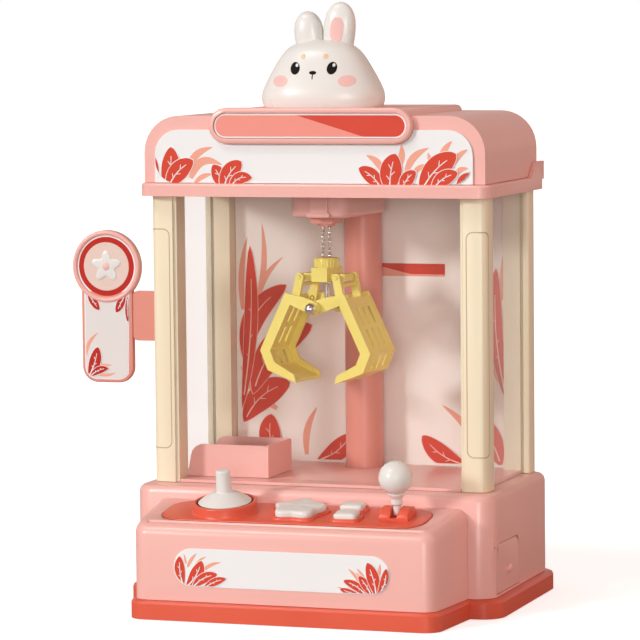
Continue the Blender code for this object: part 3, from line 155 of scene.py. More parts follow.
def lofted(rings, ends=(True, True)):
    # closed rings (n, m, 3), a quad between neighbours round each ring, and each end a fan to its middle
    rings = np.array(rings)
    n, m = rings.shape[:2]
    index = np.arange(n * m).reshape(n, m)
    nextOne = np.roll(index, -1, 1)
    faces = np.stack([index[:-1], nextOne[:-1], nextOne[1:], index[1:]], -1).reshape(-1, 4).tolist()
    points = [rings.reshape(-1, 3)]
    for end, wanted in zip((0, -1), ends):
        if wanted:
            middle = n * m + len(points) - 1
            points.append(rings[end].mean(0)[None])
            pair = (nextOne[end], index[end]) if end == 0 else (index[end], nextOne[end])
            faces += np.stack([*pair, np.full(m, middle)], 1).tolist()
    return np.concatenate(points), faces


def looped(rings):
    # like lofted, but the last ring joins the first, as in a ring or a frame
    rings = np.array(rings)
    n, m = rings.shape[:2]
    index = np.arange(n * m).reshape(n, m)
    along, across = np.roll(index, -1, 0), np.roll(index, -1, 1)
    both = np.roll(along, -1, 1)
    return rings.reshape(-1, 3), np.stack([index, across, both, along], -1).reshape(-1, 4).tolist()


def placed(shape, matrix):
    points, faces = shape
    turn = np.array(matrix)
    return points @ turn[:3, :3].T + turn[:3, 3], faces


def moved(shape, x, y=0.0, z=0.0):
    return placed(shape, Matrix.Translation((x, y, z)))


def boxCorners(x0, y0, x1, y1):
    return [(x0, y0), (x1, y0), (x1, y1), (x0, y1)]


def outline(corners, radii, inset=0.0, steps=8):
    # a polygon moved inwards by inset, each corner an arc: convex radii shrink by it, concave ones grow
    least = 0.02
    corners = np.array(corners, float)
    radii = np.broadcast_to(radii, len(corners))
    ring = []
    for i, here in enumerate(corners):
        one = here - corners[i - 1]
        two = corners[(i + 1) % len(corners)] - here
        one, two = one / np.linalg.norm(one), two / np.linalg.norm(two)
        normals = np.array([[-one[1], one[0]], [-two[1], two[0]]])
        lean = normals.sum(0) / (1 + normals[0] @ normals[1])
        sweep = math.atan2(one[0] * two[1] - one[1] * two[0], one @ two)
        side = 1 if sweep > 0 else -1
        radius = max(radii[i] - side * inset, least)
        middle = here + lean * (inset + side * radius)
        angle = np.linspace(0, sweep, steps + 1)
        start = -side * normals[0] * radius
        ring.append(middle + np.stack([start[0] * np.cos(angle) - start[1] * np.sin(angle),
                                       start[0] * np.sin(angle) + start[1] * np.cos(angle)], 1))
    return np.concatenate(ring)


def edgeProfile(low, high, roundLow, roundHigh, steps):
    # (inset, height) up a wall whose two edges are quarter arcs, with a holding ring beside each arc
    hold = 0.3
    angle = np.linspace(0, math.pi / 2, steps + 1)

    def edge(end, radius, side):
        if not radius:
            return [(hold, end), (0.0, end)]
        return [(radius + hold, end),
                *zip(radius * (1 - np.sin(angle)), end + side * radius * (1 - np.cos(angle)))]
    return edge(low, roundLow, 1) + edge(high, roundHigh, -1)[::-1]


def slab(corners, radii, low, high, roundLow=0.0, roundHigh=0.0, axis="Z", steps=8, arcs=6):
    # an outline lofted up an edge profile; axis says which way is up
    return lofted([raised(outline(corners, radii, inset, steps), height, axis)
                   for inset, height in edgeProfile(low, high, roundLow, roundHigh, arcs)])


def turned(profile, sides=64):
    # (radius, height) rows carried round Z, with the ends closed to the axis
    return lofted([polar(radius, fullTurn(sides), height) for radius, height in profile])


def swept(path, section):
    # a section of (sideways, upwards) offsets carried round a closed path; sideways is the run crossed with Z
    run = np.roll(path, -1, 0) - np.roll(path, 1, 0)
    run /= np.linalg.norm(run, axis=1, keepdims=True)
    side = np.cross(run, (0.0, 0.0, 1.0))
    side /= np.linalg.norm(side, axis=1, keepdims=True)
    rise = np.cross(side, run)
    section = np.array(section, float)
    return looped(path[:, None] + section[None, :, :1] * side[:, None] + section[None, :, 1:] * rise[:, None])


def smoothLine(points, count):
    # a Catmull-Rom curve through the points, sampled evenly in its own parameter
    points = np.array(points, float)
    full = np.concatenate([[2 * points[0] - points[1]], points, [2 * points[-1] - points[-2]]])
    at = np.linspace(0, len(points) - 1 - 1e-9, count)
    i, t = at.astype(int), (at % 1)[:, None]
    a, b, c, d = full[i], full[i + 1], full[i + 2], full[i + 3]
    return 0.5 * (2 * b + (c - a) * t + (2 * a - 5 * b + 4 * c - d) * t**2 + (3 * b - 3 * c + d - a) * t**3)


def ball(radius, centre, sides):
    # rings at even angles from pole to pole, and a point at each pole
    rise = np.linspace(-math.pi / 2, math.pi / 2, sides // 2 + 1)[1:-1]
    rings = [polar(radius * math.cos(a), fullTurn(sides), radius * math.sin(a)) for a in rise]
    points, faces = lofted(np.array(rings) + centre)
    points[-2:] = np.array(centre) + [[0, 0, -radius], [0, 0, radius]]
    return points, faces


def meshOf(name, points, faces):
    mesh = bpy.data.meshes.new(name)
    mesh.from_pydata(points.tolist(), [], faces)
    return mesh


def stacked(shapes):
    # several shapes as one, each one's faces counted on from the last
    points, faces, start = [], [], 0
    for shapePoints, shapeFaces in shapes:
        points.append(shapePoints)
        faces += [[corner + start for corner in face] for face in shapeFaces]
        start += len(shapePoints)
    return np.concatenate(points), faces


def smoothed(mesh, angle):
    mesh.shade_smooth()
    mesh.set_sharp_from_angle(angle=math.radians(angle))


def finished(obj, look, body, replaces=()):
    bpy.context.scene.collection.objects.link(obj)
    obj.data.materials.clear()
    obj.data.materials.append(look)
    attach(obj, body)
    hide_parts(*replaces)


def piece(name, shapes, look, body, replaces=(), angle=35, outward=True):
    points, faces = stacked(shapes)
    mesh = meshOf(name, points * mm, faces)
    if outward:
        bm = bmesh.new()
        bm.from_mesh(mesh)
        bmesh.ops.recalc_face_normals(bm, faces=bm.faces)
        bm.to_mesh(mesh)
        bm.free()
    smoothed(mesh, angle)
    finished(bpy.data.objects.new(name, mesh), look, body, replaces)


# angles in degrees, lengths in metres
softening = {"merge": 0.005 * mm, "flat": 0.8, "steps": 2, "edge": 28, "smooth": 40}


def softened(node, look, width):
    # a copy of a CAD node with its doubles merged, its flat faces joined and its edges rounded
    source = frame["nodes"][node]
    bm = bmesh.new()
    bm.from_mesh(source.data)
    bmesh.ops.remove_doubles(bm, verts=bm.verts, dist=softening["merge"])
    bmesh.ops.dissolve_limit(bm, angle_limit=math.radians(softening["flat"]), verts=bm.verts, edges=bm.edges)
    mesh = bpy.data.meshes.new(node + "_moulded")
    bm.to_mesh(mesh)
    bm.free()
    obj = bpy.data.objects.new(node + "_moulded", mesh)
    bevel = obj.modifiers.new("edges", "BEVEL")
    bevel.width = width * mm
    bevel.segments = softening["steps"]
    bevel.limit_method = "ANGLE"
    bevel.angle_limit = math.radians(softening["edge"])
    bevel.harden_normals = True
    bevel.miter_outer = "MITER_ARC"
    smoothed(mesh, softening["smooth"])
    finished(obj, look, source["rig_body"], [node])


# Finishes


def feed(node, inputs):
    # gives inputs their values, and links those whose value is another node's output
    for key, value in inputs.items():
        if isinstance(value, bpy.types.NodeSocket):
            node.id_data.links.new(value, node.inputs[key])
        else:
            node.inputs[key].default_value = value


def nodeMaker(tree):
    def make(kind, inputs=(), **settings):
        node = tree.nodes.new(kind)
        for key, value in settings.items():
            setattr(node, key, value)
        feed(node, dict(inputs))
        return node
    return make


def noise(make, place, scale, detail=2.0, distortion=0.0):
    inputs = {"Vector": place, "Scale": scale, "Detail": detail, "Distortion": distortion}
    return make("ShaderNodeTexNoise", inputs).outputs["Fac"]


def ranged(make, value, low, high, newLow, newHigh):
    # carries low..high to newLow..newHigh and holds it there
    inputs = {"Value": value, "From Min": low, "From Max": high, "To Min": newLow, "To Max": newHigh}
    return make("ShaderNodeMapRange", inputs).outputs["Result"]


def mixed(make, share, first, second):
    inputs = {"Factor": share, "A": first, "B": second}
    return make("ShaderNodeMix", inputs, data_type="RGBA").outputs["Result"]


def joined(make, operation, first, second, clamp=False):
    return make("ShaderNodeMath", {0: first, 1: second}, operation=operation, use_clamp=clamp).outputs[0]


def bumped(make, height, strength, distance):
    inputs = {"Height": height, "Strength": strength, "Distance": distance * mm}
    return make("ShaderNodeBump", inputs).outputs["Normal"]


def mouldedGroup():
    # colour drift, fine moulding grain, faint polish streaks and a little dust on faces that look up
    group = bpy.data.node_groups.new("mouldedSurface", "ShaderNodeTree")
    for name, kind, value in (("Colour", "Color", (0.8, 0.8, 0.8, 1)), ("Drift", "Color", (0.7, 0.7, 0.7, 1)),
                              ("Roughness", "Float", 0.3), ("Grain", "Float", 900.0)):
        asked = group.interface.new_socket(name, in_out="INPUT", socket_type="NodeSocket" + kind)
        asked.default_value = value
    for name, kind in (("Colour", "Color"), ("Roughness", "Float"), ("Height", "Float")):
        group.interface.new_socket(name, in_out="OUTPUT", socket_type="NodeSocket" + kind)
    make = nodeMaker(group)
    inside = make("NodeGroupInput").outputs
    place = objectPlace(make)
    cloud = ranged(make, noise(make, place, 14.0, 3.0), 0.35, 0.7, 0.0, 0.55)
    colour = mixed(make, cloud, inside["Colour"], inside["Drift"])
    up = make("ShaderNodeSeparateXYZ", {"Vector": make("ShaderNodeNewGeometry").outputs["Normal"]})
    specks = ranged(make, noise(make, place, 420.0, 4.0), 0.6, 0.85, 0.0, 0.05)
    dust = joined(make, "MULTIPLY", specks, ranged(make, up.outputs["Z"], 0.6, 1.0, 0.0, 1.0))
    polish = ranged(make, noise(make, place, 60.0, 5.0, 0.6), 0.3, 0.75, -0.03, 0.05)
    streaked = joined(make, "ADD", inside["Roughness"], polish)
    make("NodeGroupOutput", {"Colour": mixed(make, dust, colour, (0.78, 0.74, 0.7, 1)),
                             "Roughness": joined(make, "ADD", streaked, dust, True),
                             "Height": noise(make, place, inside["Grain"])})
    return group


def blank(name, slotName):
    look = bpy.data.materials.new(name)
    look.use_nodes = True
    look["slot"] = slotName
    return look, look.node_tree.nodes["Principled BSDF"], nodeMaker(look.node_tree)


def objectPlace(make):
    return make("ShaderNodeTexCoord").outputs["Object"]


def mouldedNode(make, colour, drift, roughness, grain):
    inputs = {"Colour": (*colour, 1), "Drift": (*drift, 1), "Roughness": roughness, "Grain": grain}
    return make("ShaderNodeGroup", inputs, node_tree=moulded).outputs


def plastic(name, slotName, colour, drift, roughness=0.3, grain=900.0, bump=0.03, coat=0.0, depth=0.0,
            shine=0.5):
    # coat is lacquer, depth is how far light sinks in, and shine is the strength of the reflections
    look, shader, make = blank(name, slotName)
    surface = mouldedNode(make, colour, drift, roughness, grain)
    feed(shader, {"Base Color": surface["Colour"], "Roughness": surface["Roughness"],
                  "Normal": bumped(make, surface["Height"], bump, 0.15),
                  "Coat Weight": coat, "Coat Roughness": 0.12, "Specular IOR Level": shine})
    if depth:
        feed(shader, {"Subsurface Weight": depth, "Subsurface Scale": 3 * mm})
    return look


def steel(name, slotName, colour, roughness, stretch):
    # noise, drawn out along Z where the last stretch is small, drives the roughness and a faint bump
    look, shader, make = blank(name, slotName)
    brushed = make("ShaderNodeMapping", {"Vector": objectPlace(make), "Scale": stretch}).outputs["Vector"]
    brush = noise(make, brushed, 300.0, 4.0)
    feed(shader, {"Base Color": mixed(make, brush, (*colour, 1), (*[c * 0.8 for c in colour], 1)),
                  "Roughness": ranged(make, brush, 0, 1, roughness * 0.6, roughness * 1.7),
                  "Normal": bumped(make, brush, 0.06, 0.1), "Metallic": 1.0})
    return look


def windowFinish():
    # clear sheet: almost nothing face on, more gloss at a glancing angle, with faint wiping marks
    look, shader, make = blank("clearWindow", "clear_window")
    glass = 1.46
    smear = noise(make, objectPlace(make), 22.0, 6.0, 1.4)
    glance = make("ShaderNodeFresnel", {"IOR": glass}).outputs["Fac"]
    feed(shader, {"Base Color": (0.75, 0.8, 0.82, 1), "IOR": glass,
                  "Roughness": ranged(make, smear, 0.3, 0.8, 0.02, 0.14),
                  "Alpha": ranged(make, glance, 0.03, 0.6, 0.012, 0.3)})
    return look


def floorFinish():
    # white to the camera, but darker to everything else, so that it throws less light up at the object
    look, shader, make = blank("paleFloor", "floor")
    seen = make("ShaderNodeLightPath").outputs["Is Camera Ray"]
    cloud = mixed(make, noise(make, objectPlace(make), 3.0), (0.93, 0.935, 0.94, 1), (0.9, 0.905, 0.91, 1))
    feed(shader, {"Base Color": mixed(make, seen, (0.4, 0.385, 0.37, 1), cloud),
                  "Emission Strength": joined(make, "MULTIPLY", seen, 0.62), "Emission Color": (1, 1, 1, 1),
                  "Roughness": 0.9, "Specular IOR Level": 0.1})
    return look


def splitFinish(name, slotName, first, second, cut, lean):
    # two colours parted by a leaning straight line: x beyond cut, less height times lean, is the second
    look, shader, make = blank(name, slotName)
    parts = make("ShaderNodeSeparateXYZ", {"Vector": objectPlace(make)}).outputs
    slant = make("ShaderNodeMath", {0: parts["Z"], 1: lean, 2: parts["X"]}, operation="MULTIPLY_ADD")
    side = ranged(make, slant.outputs[0], (cut - 0.1) * mm, (cut + 0.1) * mm, 0, 1)
    one, two = [mouldedNode(make, tone, [c * 0.93 for c in tone], 0.32, 900.0) for tone in (first, second)]
    feed(shader, {"Base Color": mixed(make, side, one["Colour"], two["Colour"]),
                  "Roughness": one["Roughness"], "Normal": bumped(make, one["Height"], 0.03, 0.1)})
    return look


def boardFinish():
    # green board with copper runs under the lacquer: a brick pattern's joints are the tracks
    look, shader, make = blank("boardGreen", "board_green")
    tracks = make("ShaderNodeTexBrick", {"Vector": objectPlace(make), "Scale": 260.0, "Mortar Size": 0.035,
                                         "Color1": (0.02, 0.16, 0.07, 1), "Color2": (0.025, 0.2, 0.09, 1),
                                         "Mortar": (0.05, 0.34, 0.14, 1)}).outputs
    feed(shader, {"Base Color": tracks["Color"], "Normal": bumped(make, tracks["Fac"], 0.2, 0.1),
                  "Roughness": 0.32})
    return look


moulded = mouldedGroup()
matt = {"grain": 500, "shine": 0.25}  # printed colours
pink = plastic("pinkShell", "pink_shell", (0.90, 0.485, 0.435), (0.87, 0.45, 0.40), 0.32, coat=0.1)
coral = plastic("coralRed", "coral_red", (0.78, 0.115, 0.06), (0.73, 0.095, 0.045), 0.32, coat=0.1)
rose = plastic("roseShell", "rose_shell", (0.78, 0.30, 0.235), (0.73, 0.26, 0.2), 0.34, coat=0.05)
cream = plastic("creamPillar", "cream_pillar", (0.89, 0.79, 0.585), (0.86, 0.75, 0.535), 0.36)
pale = plastic("paleInner", "printed_pale", (0.96, 0.89, 0.83), (0.94, 0.86, 0.79), 0.42, depth=0.1)
white = plastic("whiteGloss", "white_gloss", (0.80, 0.785, 0.75), (0.77, 0.75, 0.715), 0.3, coat=0.1)
card = plastic("whitePanel", "white_gloss", (0.87, 0.875, 0.88), (0.85, 0.85, 0.855), 0.45, 500, shine=0.3)
yellow = plastic("clawYellow", "claw_yellow", (0.93, 0.79, 0.2), (0.9, 0.72, 0.14), 0.32, coat=0.1)
grey = plastic("greyPlastic", "grey_plastic", (0.10, 0.10, 0.105), (0.07, 0.07, 0.075), 0.5, 1400, 0.12)
nylon = plastic("nylonGear", "nylon_gear", (0.83, 0.81, 0.74), (0.78, 0.75, 0.68), 0.42, depth=0.1)
leafRed = plastic("leafRed", "coral_red", (0.68, 0.062, 0.028), (0.62, 0.045, 0.02), 0.5, **matt)
deepRed = plastic("deepRed", "coral_red", (0.52, 0.018, 0.008), (0.46, 0.012, 0.006), 0.5, **matt)
leafSalmon = plastic("leafSalmon", "pink_shell", (0.88, 0.40, 0.29), (0.85, 0.36, 0.26), 0.5, **matt)
discPink = plastic("discPink", "printed_pale", (0.80, 0.62, 0.55), (0.77, 0.58, 0.51), 0.45, shine=0.3)
bright = steel("brightSteel", "bright_steel", (0.72, 0.72, 0.74), 0.2, (1.0, 1.0, 0.15))
ink = plastic("blackInk", "grey_plastic", (0.008, 0.006, 0.006), (0.012, 0.01, 0.009), 0.55, shine=0.08)
blush = plastic("blushPink", "pink_shell", (0.87, 0.54, 0.50), (0.85, 0.50, 0.47), 0.42, shine=0.3)
# painted shade: a darker cream for the engraved grooves on the front pillars
grooveShade = plastic("grooveShade", "cream_pillar", (0.55, 0.42, 0.27), (0.5, 0.38, 0.24), 0.6)
# painted shade for the gap round the control panel
seamShade = plastic("seamShade", "coral_red", (0.2, 0.035, 0.025), (0.16, 0.026, 0.018), 0.6, shine=0.2)
chrome = steel("polishedBall", "bright_steel", (0.86, 0.86, 0.87), 0.07, (1.0, 1.0, 1.0))
tan = plastic("tanPrint", "claw_yellow", (0.80, 0.58, 0.36), (0.75, 0.52, 0.3), 0.4)
pinkLine = plastic("palePinkLine", "printed_pale", (0.92, 0.60, 0.52), (0.9, 0.55, 0.47), 0.42)
panelGrey = plastic("signPanel", "white_gloss", (0.78, 0.74, 0.715), (0.75, 0.7, 0.68), 0.45, shine=0.3)
twoTone = splitFinish("nameplateTwoTone", "coral_red", (0.90, 0.31, 0.25), (0.70, 0.06, 0.03), 1085, 3.3)
clear = windowFinish()
boardGreen = boardFinish()
print("finishes made")
makeCamera()
makeStudio()

# Cabinet shells, from the CAD solids with their edges rounded: look, then width of the rounding

shellEdges = {"base_tray": (coral, 0.5), "base_shell": (pink, 0.5), "console_shell": (pink, 0.5),
              "lip_frame": (pink, 0.4), "header_shell": (pink, 0.5), "prize_door": (pink, 0.35),
              "chute_fence": (pink, 0.6), "play_floor": (pink, 0.3), "chute_ramp": (pale, 0.3),
              "back_door": (pale, 0.4), "control_panel": (coral, 0.4),
              "header_panel": (card, 0.2), "sign_bracket": (rose, 0.5), "boom_arm": (pink, 3.0),
              "boom_column": (rose, 0.3), "trolley": (rose, 0.5), "top_bridge": (grey, 0.4),
              "pillar_rear_left": (cream, 0.5), "pillar_rear_right": (cream, 0.5),
              "battery_box": (grey, 0.4), "battery_cover": (coral, 0.3), "speaker": (grey, 0.4),
              "swing_bracket": (grey, 0.4), "joystick_base": (grey, 0.3), "joystick_gimbal": (grey, 0.2),
              "power_switch": (grey, 0.2), "usb_inlet": (bright, 0.15), "column_gear": (nylon, 0.2),
              "swing_pinion": (nylon, 0.15), "winch_drum": (nylon, 0.3), "swing_motor": (bright, 0.6),
              "winch_motor": (bright, 0.5), "battery_1": (bright, 0.5), "battery_2": (bright, 0.5),
              "battery_3": (bright, 0.5), "claw_hub": (yellow, 0.5), "jaw_left": (yellow, 0.45),
              "jaw_right": (yellow, 0.45), "link_left": (yellow, 0.45), "link_right": (yellow, 0.45),
              "pillar_front_left": (cream, 0.6), "pillar_front_right": (cream, 0.6),
              "circuit_board": (boardGreen, 0.2), "claw_pin": (bright, 0.2), "nameplate_frame": (pink, 0.9)}
for node, (look, width) in shellEdges.items():
    softened(node, look, width)
for node in ("front_window", "left_window", "right_window"):
    panes = frame["nodes"][node]
    panes.data.materials.clear()
    panes.data.materials.append(clear)
print("shells rounded")

# Sloping console plane and the claw's own frame, both read from the joints

stickPlace = {"x": -50, "pivotHigh": 1.5}
push = Vector(joints["flower_press"]["axis"])
console = (Matrix.Translation(Vector(joints["stick_tilt_fore"]["pos_m"]) / mm)
           @ Matrix.Rotation(math.atan2(push.y, -push.z), 4, "X")
           @ Matrix.Translation((-stickPlace["x"], 0, -stickPlace["pivotHigh"])))
clawAxis = Vector(joints["claw_open"]["axis"])
claw = (Matrix.Translation(Vector(joints["claw_open"]["pos_m"]) / mm)
        @ Matrix.Rotation(-math.atan2(clawAxis.x, clawAxis.y), 4, "Z"))


def boxOf(node):
    return [Vector(corner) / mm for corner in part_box(node)]


def onConsole(shape, x=0.0, y=0.0):
    return placed(shape, console @ Matrix.Translation((x, y, 0)))


# Engraved loops that wrap the outer corner of each front pillar, laid on as dark bands of painted shade

groove = {"low": 104.6, "high": 254, "length": 17, "reach": 13.6, "corner": 6, "radius": 4.5, "half": 0.38,
          "sunk": 0.3, "proud": 0.03, "step": 1.5}


def makeGroove(name, side):
    # the loop is drawn flat, with one axis as distance round the pillar's corner, and then wrapped round it
    low, high = boxOf("pillar_front_" + name.lower())
    bend, half = groove["corner"], groove["half"]
    flat = outline(boxCorners(0, groove["low"], groove["length"], groove["high"]), groove["radius"], 0, 10)
    dense = []
    for here, after in zip(flat, np.roll(flat, -1, 0)):
        steps = max(1, int(np.linalg.norm(after - here) / groove["step"]))
        dense.append(here + (after - here) * (np.arange(steps) / steps)[:, None])
    along, up = np.concatenate(dense).T
    start = groove["reach"] - bend
    turn = np.clip((along - start) / bend, 0, math.pi / 2)
    over = np.maximum(along - start - bend * math.pi / 2, 0)
    x = np.where(along < start, along - groove["reach"], bend * (np.sin(turn) - 1))
    y = bend * (1 - np.cos(turn)) + over
    out = np.stack([np.sin(turn) * side, -np.cos(turn), np.zeros_like(turn)], 1)
    path = np.stack([(low.x if side < 0 else high.x) + side * x, low.y + y, up], 1)
    run = np.roll(path, -1, 0) - np.roll(path, 1, 0)
    run /= np.linalg.norm(run, axis=1, keepdims=True)
    across = np.cross(run, out)
    rings = np.stack([path + across * sideways + out * lift
                      for sideways, lift in ((-half, -groove["sunk"]), (-half, groove["proud"]),
                                             (half, groove["proud"]), (half, -groove["sunk"]))], 1)
    # a dark band standing just proud of the face, painted shade for the groove
    piece("pillarGroove" + name, [looped(rings)], grooveShade, "cabinet", angle=60)


makeGroove("Left", -1)
makeGroove("Right", 1)

# Controls

panelEdge = {"half": 92, "front": -23, "rear": 21.5, "corner": 17}


def makePanelSeam():
    # a thin dark line in the gap round the red panel, painted shade for the gap
    corners = boxCorners(-panelEdge["half"], panelEdge["front"], panelEdge["half"], panelEdge["rear"])
    path = raised(outline(corners, panelEdge["corner"], 0, 14), 0)
    section = [(-0.3, -1.4), (-0.3, 0.1), (0.32, 0.1), (0.32, -1.4)]
    piece("panelSeam", [onConsole(swept(path, section))], seamShade, "cabinet")


stick = {"dome": 17.8, "domeLow": 7.5, "rise": 6.6, "neck": 5.7, "shaft": 5.3, "tip": 4.9, "top": 29,
         "soft": 1.3, "bore": 2.2}
stickRing = {"inner": 19.1, "outer": 21.6, "high": 7.7, "foot": 0.7}


def makeJoystick():
    # the dome falls from the neck to its rim as 1 - t^1.5; the shaft tapers to a rounded top
    tip, soft, top, shaft = stick["tip"], stick["soft"], stick["top"], stick["shaft"]
    rim, low, neck = stick["dome"], stick["domeLow"], stick["neck"]
    cap = [(tip - soft + soft * math.cos(a), top - soft + soft * math.sin(a))
           for a in np.linspace(math.pi / 2, 0, 7)]
    dome = [(neck + (rim - neck) * t, low + stick["rise"] * (1 - t ** 1.5)) for t in np.linspace(0, 1, 14)]
    profile = [(1, top), *cap, (shaft, low + 7.4), (shaft + 0.1, low + 6.9), *dome, (rim, low - 0.2),
               (rim - 0.4, low - 0.5), (stick["bore"], low - 0.5), (stick["bore"], 0.5)]
    shape = onConsole(turned(profile, 96), stickPlace["x"])
    piece("joystickKnob", [shape], white, "joystick", ["joystick"], 30)


def makeStickRing():
    # a red wall round the stick: a flared foot, then half an ellipse over the top
    inner, outer, foot = stickRing["inner"], stickRing["outer"], stickRing["foot"]
    soft = (outer - inner) / 2
    rise = soft * 0.8
    over = [(outer + 1.1, foot), (outer + 0.35, 1.15), (outer, 2.0)]
    over += [(inner + soft + soft * math.cos(a), stickRing["high"] + rise * (math.sin(a) - 1))
             for a in np.linspace(0, math.pi, 13)]
    over += [(inner, foot)]
    rings = np.array([polar(radius, fullTurn(96), height) for radius, height in over]).transpose(1, 0, 2)
    piece("joystickRing", [onConsole(looped(rings), stickPlace["x"])], coral, "cabinet", angle=50)


lever = {"x": 70, "y": 1, "ball": 11.2, "high": 27.5, "socket": 4.9}


def makeLever():
    # a ball on a stalk: the stalk flares to a small collar that the ball sits in
    radius, high = lever["ball"], lever["high"]
    stalk = [(1, 2.4), (2.2, 2.4), (2.6, 2.8), (2.6, 8.8), (3.4, 9.3), (4.0, 10.2), (3.8, 13.6), (4.5, 14.9),
             (5.5, 16.3), (5.7, 16.8), (5.5, 17.1)]
    knob = [(radius * math.sin(a), high - radius * math.cos(a))
            for a in np.linspace(math.asin(lever["socket"] / radius), math.pi - 0.04, 30)]
    shape = onConsole(turned(stalk + knob, 72), lever["x"], lever["y"])
    piece("leverKnob", [shape], white, "lever", ["lever"], 30)


saddle = {"half": 10, "deep": 10, "low": -0.4, "foot": 3.4, "top": 7.8, "slot": 3.1, "mouth": 2.3,
          "mouthFrom": 6}


def makeSaddle():
    # a barrel-backed block: its top falls as 1 - share^2.4 of the depth, and its slot narrows to each end
    deep, half = saddle["deep"], saddle["half"]
    rings = []
    for y in [-deep, *np.linspace(0.2 - deep, deep - 0.2, 33), deep]:
        share = min(abs(y) / deep, 1)
        top = saddle["foot"] + (saddle["top"] - saddle["foot"]) * (1 - share ** 2.4)
        top -= 0.3 if share == 1 else 0.0
        narrow = min(max((abs(y) - saddle["mouthFrom"]) / 2, 0), 1)
        slot = saddle["slot"] + (saddle["mouth"] - saddle["slot"]) * narrow
        side = [(half, saddle["low"]), (half, top - 0.9), (half - 0.15, top - 0.4), (half - 0.5, top - 0.1),
                (half - 1.0, top), (slot + 0.5, top), (slot + 0.12, top - 0.12), (slot, top - 0.5),
                (slot, 0.6 + 2.0 * narrow)]
        rings.append([(x, y, z) for x, z in side + [(-x, z) for x, z in side[::-1]]])
    shape = onConsole(lofted(rings), lever["x"], lever["y"])
    piece("leverSaddle", [shape], coral, "cabinet", ["lever_saddle"], 40)


flower = {"x": 2, "radius": 16.1, "lobe": 2.1, "low": 2.2, "high": 6.9, "crease": 0.45, "rim": 1.6,
          "rimHigh": 1.7}


def makeFlower():
    # five lobes: the edge radius swells with cos 5a; the nearly flat top sinks a little between the lobes
    angle = fullTurn(160)
    swell = np.cos(5 * (angle - math.pi / 2))
    radius, lobe, high = flower["radius"], flower["lobe"], flower["high"]
    rings = [polar(radius + lobe * swell, angle, height) for height in (-5, -3, flower["low"], high - 2.6)]
    for scale, fall in ((0.994, 1.7), (0.975, 1.0), (0.945, 0.55), (0.9, 0.25), (0.82, 0.05), (0.7, -0.1),
                        (0.52, -0.2), (0.3, -0.25), (0.12, -0.27), (0.03, -0.27)):
        crease = (1 - swell) / 2 * flower["crease"] * math.sin(math.pi * scale)
        rings.append(polar(radius * scale + lobe * swell * scale ** 1.4, angle, high - fall - crease))
    piece("flowerCap", [onConsole(lofted(rings), flower["x"])], white, "flower_button", ["flower_button"], 55)
    # raised red rim that follows the same lobes
    section = [(-0.9, -1.2), (-0.9, 0.5), (-0.4, 1.0), (0.4, 1.0), (0.95, 0.45), (1.3, -0.6), (1.3, -1.2)]
    path = polar(radius + flower["rim"] + lobe * swell, angle, flower["rimHigh"])
    piece("flowerRim", [onConsole(swept(path, section), flower["x"])], coral, "cabinet", angle=50)


squares = {"front": (38, -8.5), "rear": (36, 11), "half": (7.8, 6.4), "corner": 2.6, "rim": 1.25,
           "rimHigh": 1.6}


def makeSquares():
    halfX, halfY = squares["half"]
    corners = boxCorners(-halfX, -halfY, halfX, halfY)
    # straight wall, a rounded shoulder, then a top that rises a little to the middle
    rows = [(0, -5), (0, 2), (0, 4.2), (0.12, 4.7), (0.45, 5.2), (0.95, 5.6), (1.6, 5.85), (2.6, 6.05),
            (4.4, 6.25)]
    cap = lofted([raised(outline(corners, squares["corner"], inset), height) for inset, height in rows])
    section = [(-0.8, -1.2), (-0.8, 0.6), (-0.4, 1.0), (0.4, 1.0), (0.9, 0.5), (1.2, -0.6), (1.2, -1.2)]
    rim = swept(raised(outline(corners, squares["corner"], -squares["rim"]), squares["rimHigh"]), section)
    for name in ("front", "rear"):
        button = "square_button_" + name
        piece("squareCap_" + name, [onConsole(cap, *squares[name])], white, button, [button], 50)
        piece("squareRim_" + name, [onConsole(rim, *squares[name])], coral, "cabinet", angle=50)


makePanelSeam()
makeJoystick()
makeStickRing()
makeLever()
makeSaddle()
makeFlower()
makeSquares()
print("controls made")

# Claw dressing: ribbed collar, glossy pin ends, the ball chains and a guide on the boom

collar = {"radius": 8.25, "rib": 0.45, "ribs": 26, "low": 226.2, "high": 233.2, "soft": 0.7}
pinEnds = {"ball": 4.1, "ballOut": 24.1, "seatOut": 21.9}


def makeCollar():
    # radius plus a rib that follows the positive part of a cosine, fading out at both edges
    angle = fullTurn(collar["ribs"] * 10)
    wave = np.clip(np.cos(collar["ribs"] * angle) * 2 + 0.6, 0, 1)
    low, high, soft = collar["low"], collar["high"], collar["soft"]
    rings = []
    for inset, height, share in ((1.2, low, 0), (0, low + 0.1, 0), (0, low + soft, 1),
                                 (0, high - soft * 1.4, 1), (0.15, high - soft * 0.8, 0.5),
                                 (0.5, high - 0.2, 0), (1.1, high, 0), (4.2, high, 0), (4.5, high - 0.8, 0)):
        rings.append(polar(collar["radius"] - inset + collar["rib"] * wave * share, angle, height))
    shape = placed(lofted(rings), claw @ Matrix.Translation((0, 0, -claw.translation.z)))
    piece("clawCollar", [shape], yellow, "claw_hub", angle=40)


def makePinEnds():
    # at each end of the pin, a ball on a round seat with stepped edges
    bead = ball(pinEnds["ball"], (0, 0, 0), 48)
    seat = turned([(2, -2.2), (4.6, -2.2), (4.9, -1.8), (4.9, -0.4), (4.5, 0), (2, 0)], 40)
    beads = [placed(moved(bead, 0, side * pinEnds["ballOut"]), claw) for side in (-1, 1)]
    seats = [placed(seat, claw @ Matrix.Translation((0, side * pinEnds["seatOut"], 0))
                    @ Matrix.Rotation(side * -math.pi / 2, 4, "X")) for side in (-1, 1)]
    piece("clawPinBalls", beads, chrome, "claw_pin", angle=180)
    piece("clawPinSeats", seats, yellow, "claw_pin")


chains = {"pitch": 3.1, "bead": 1.3, "wire": 0.35, "bare": 9}


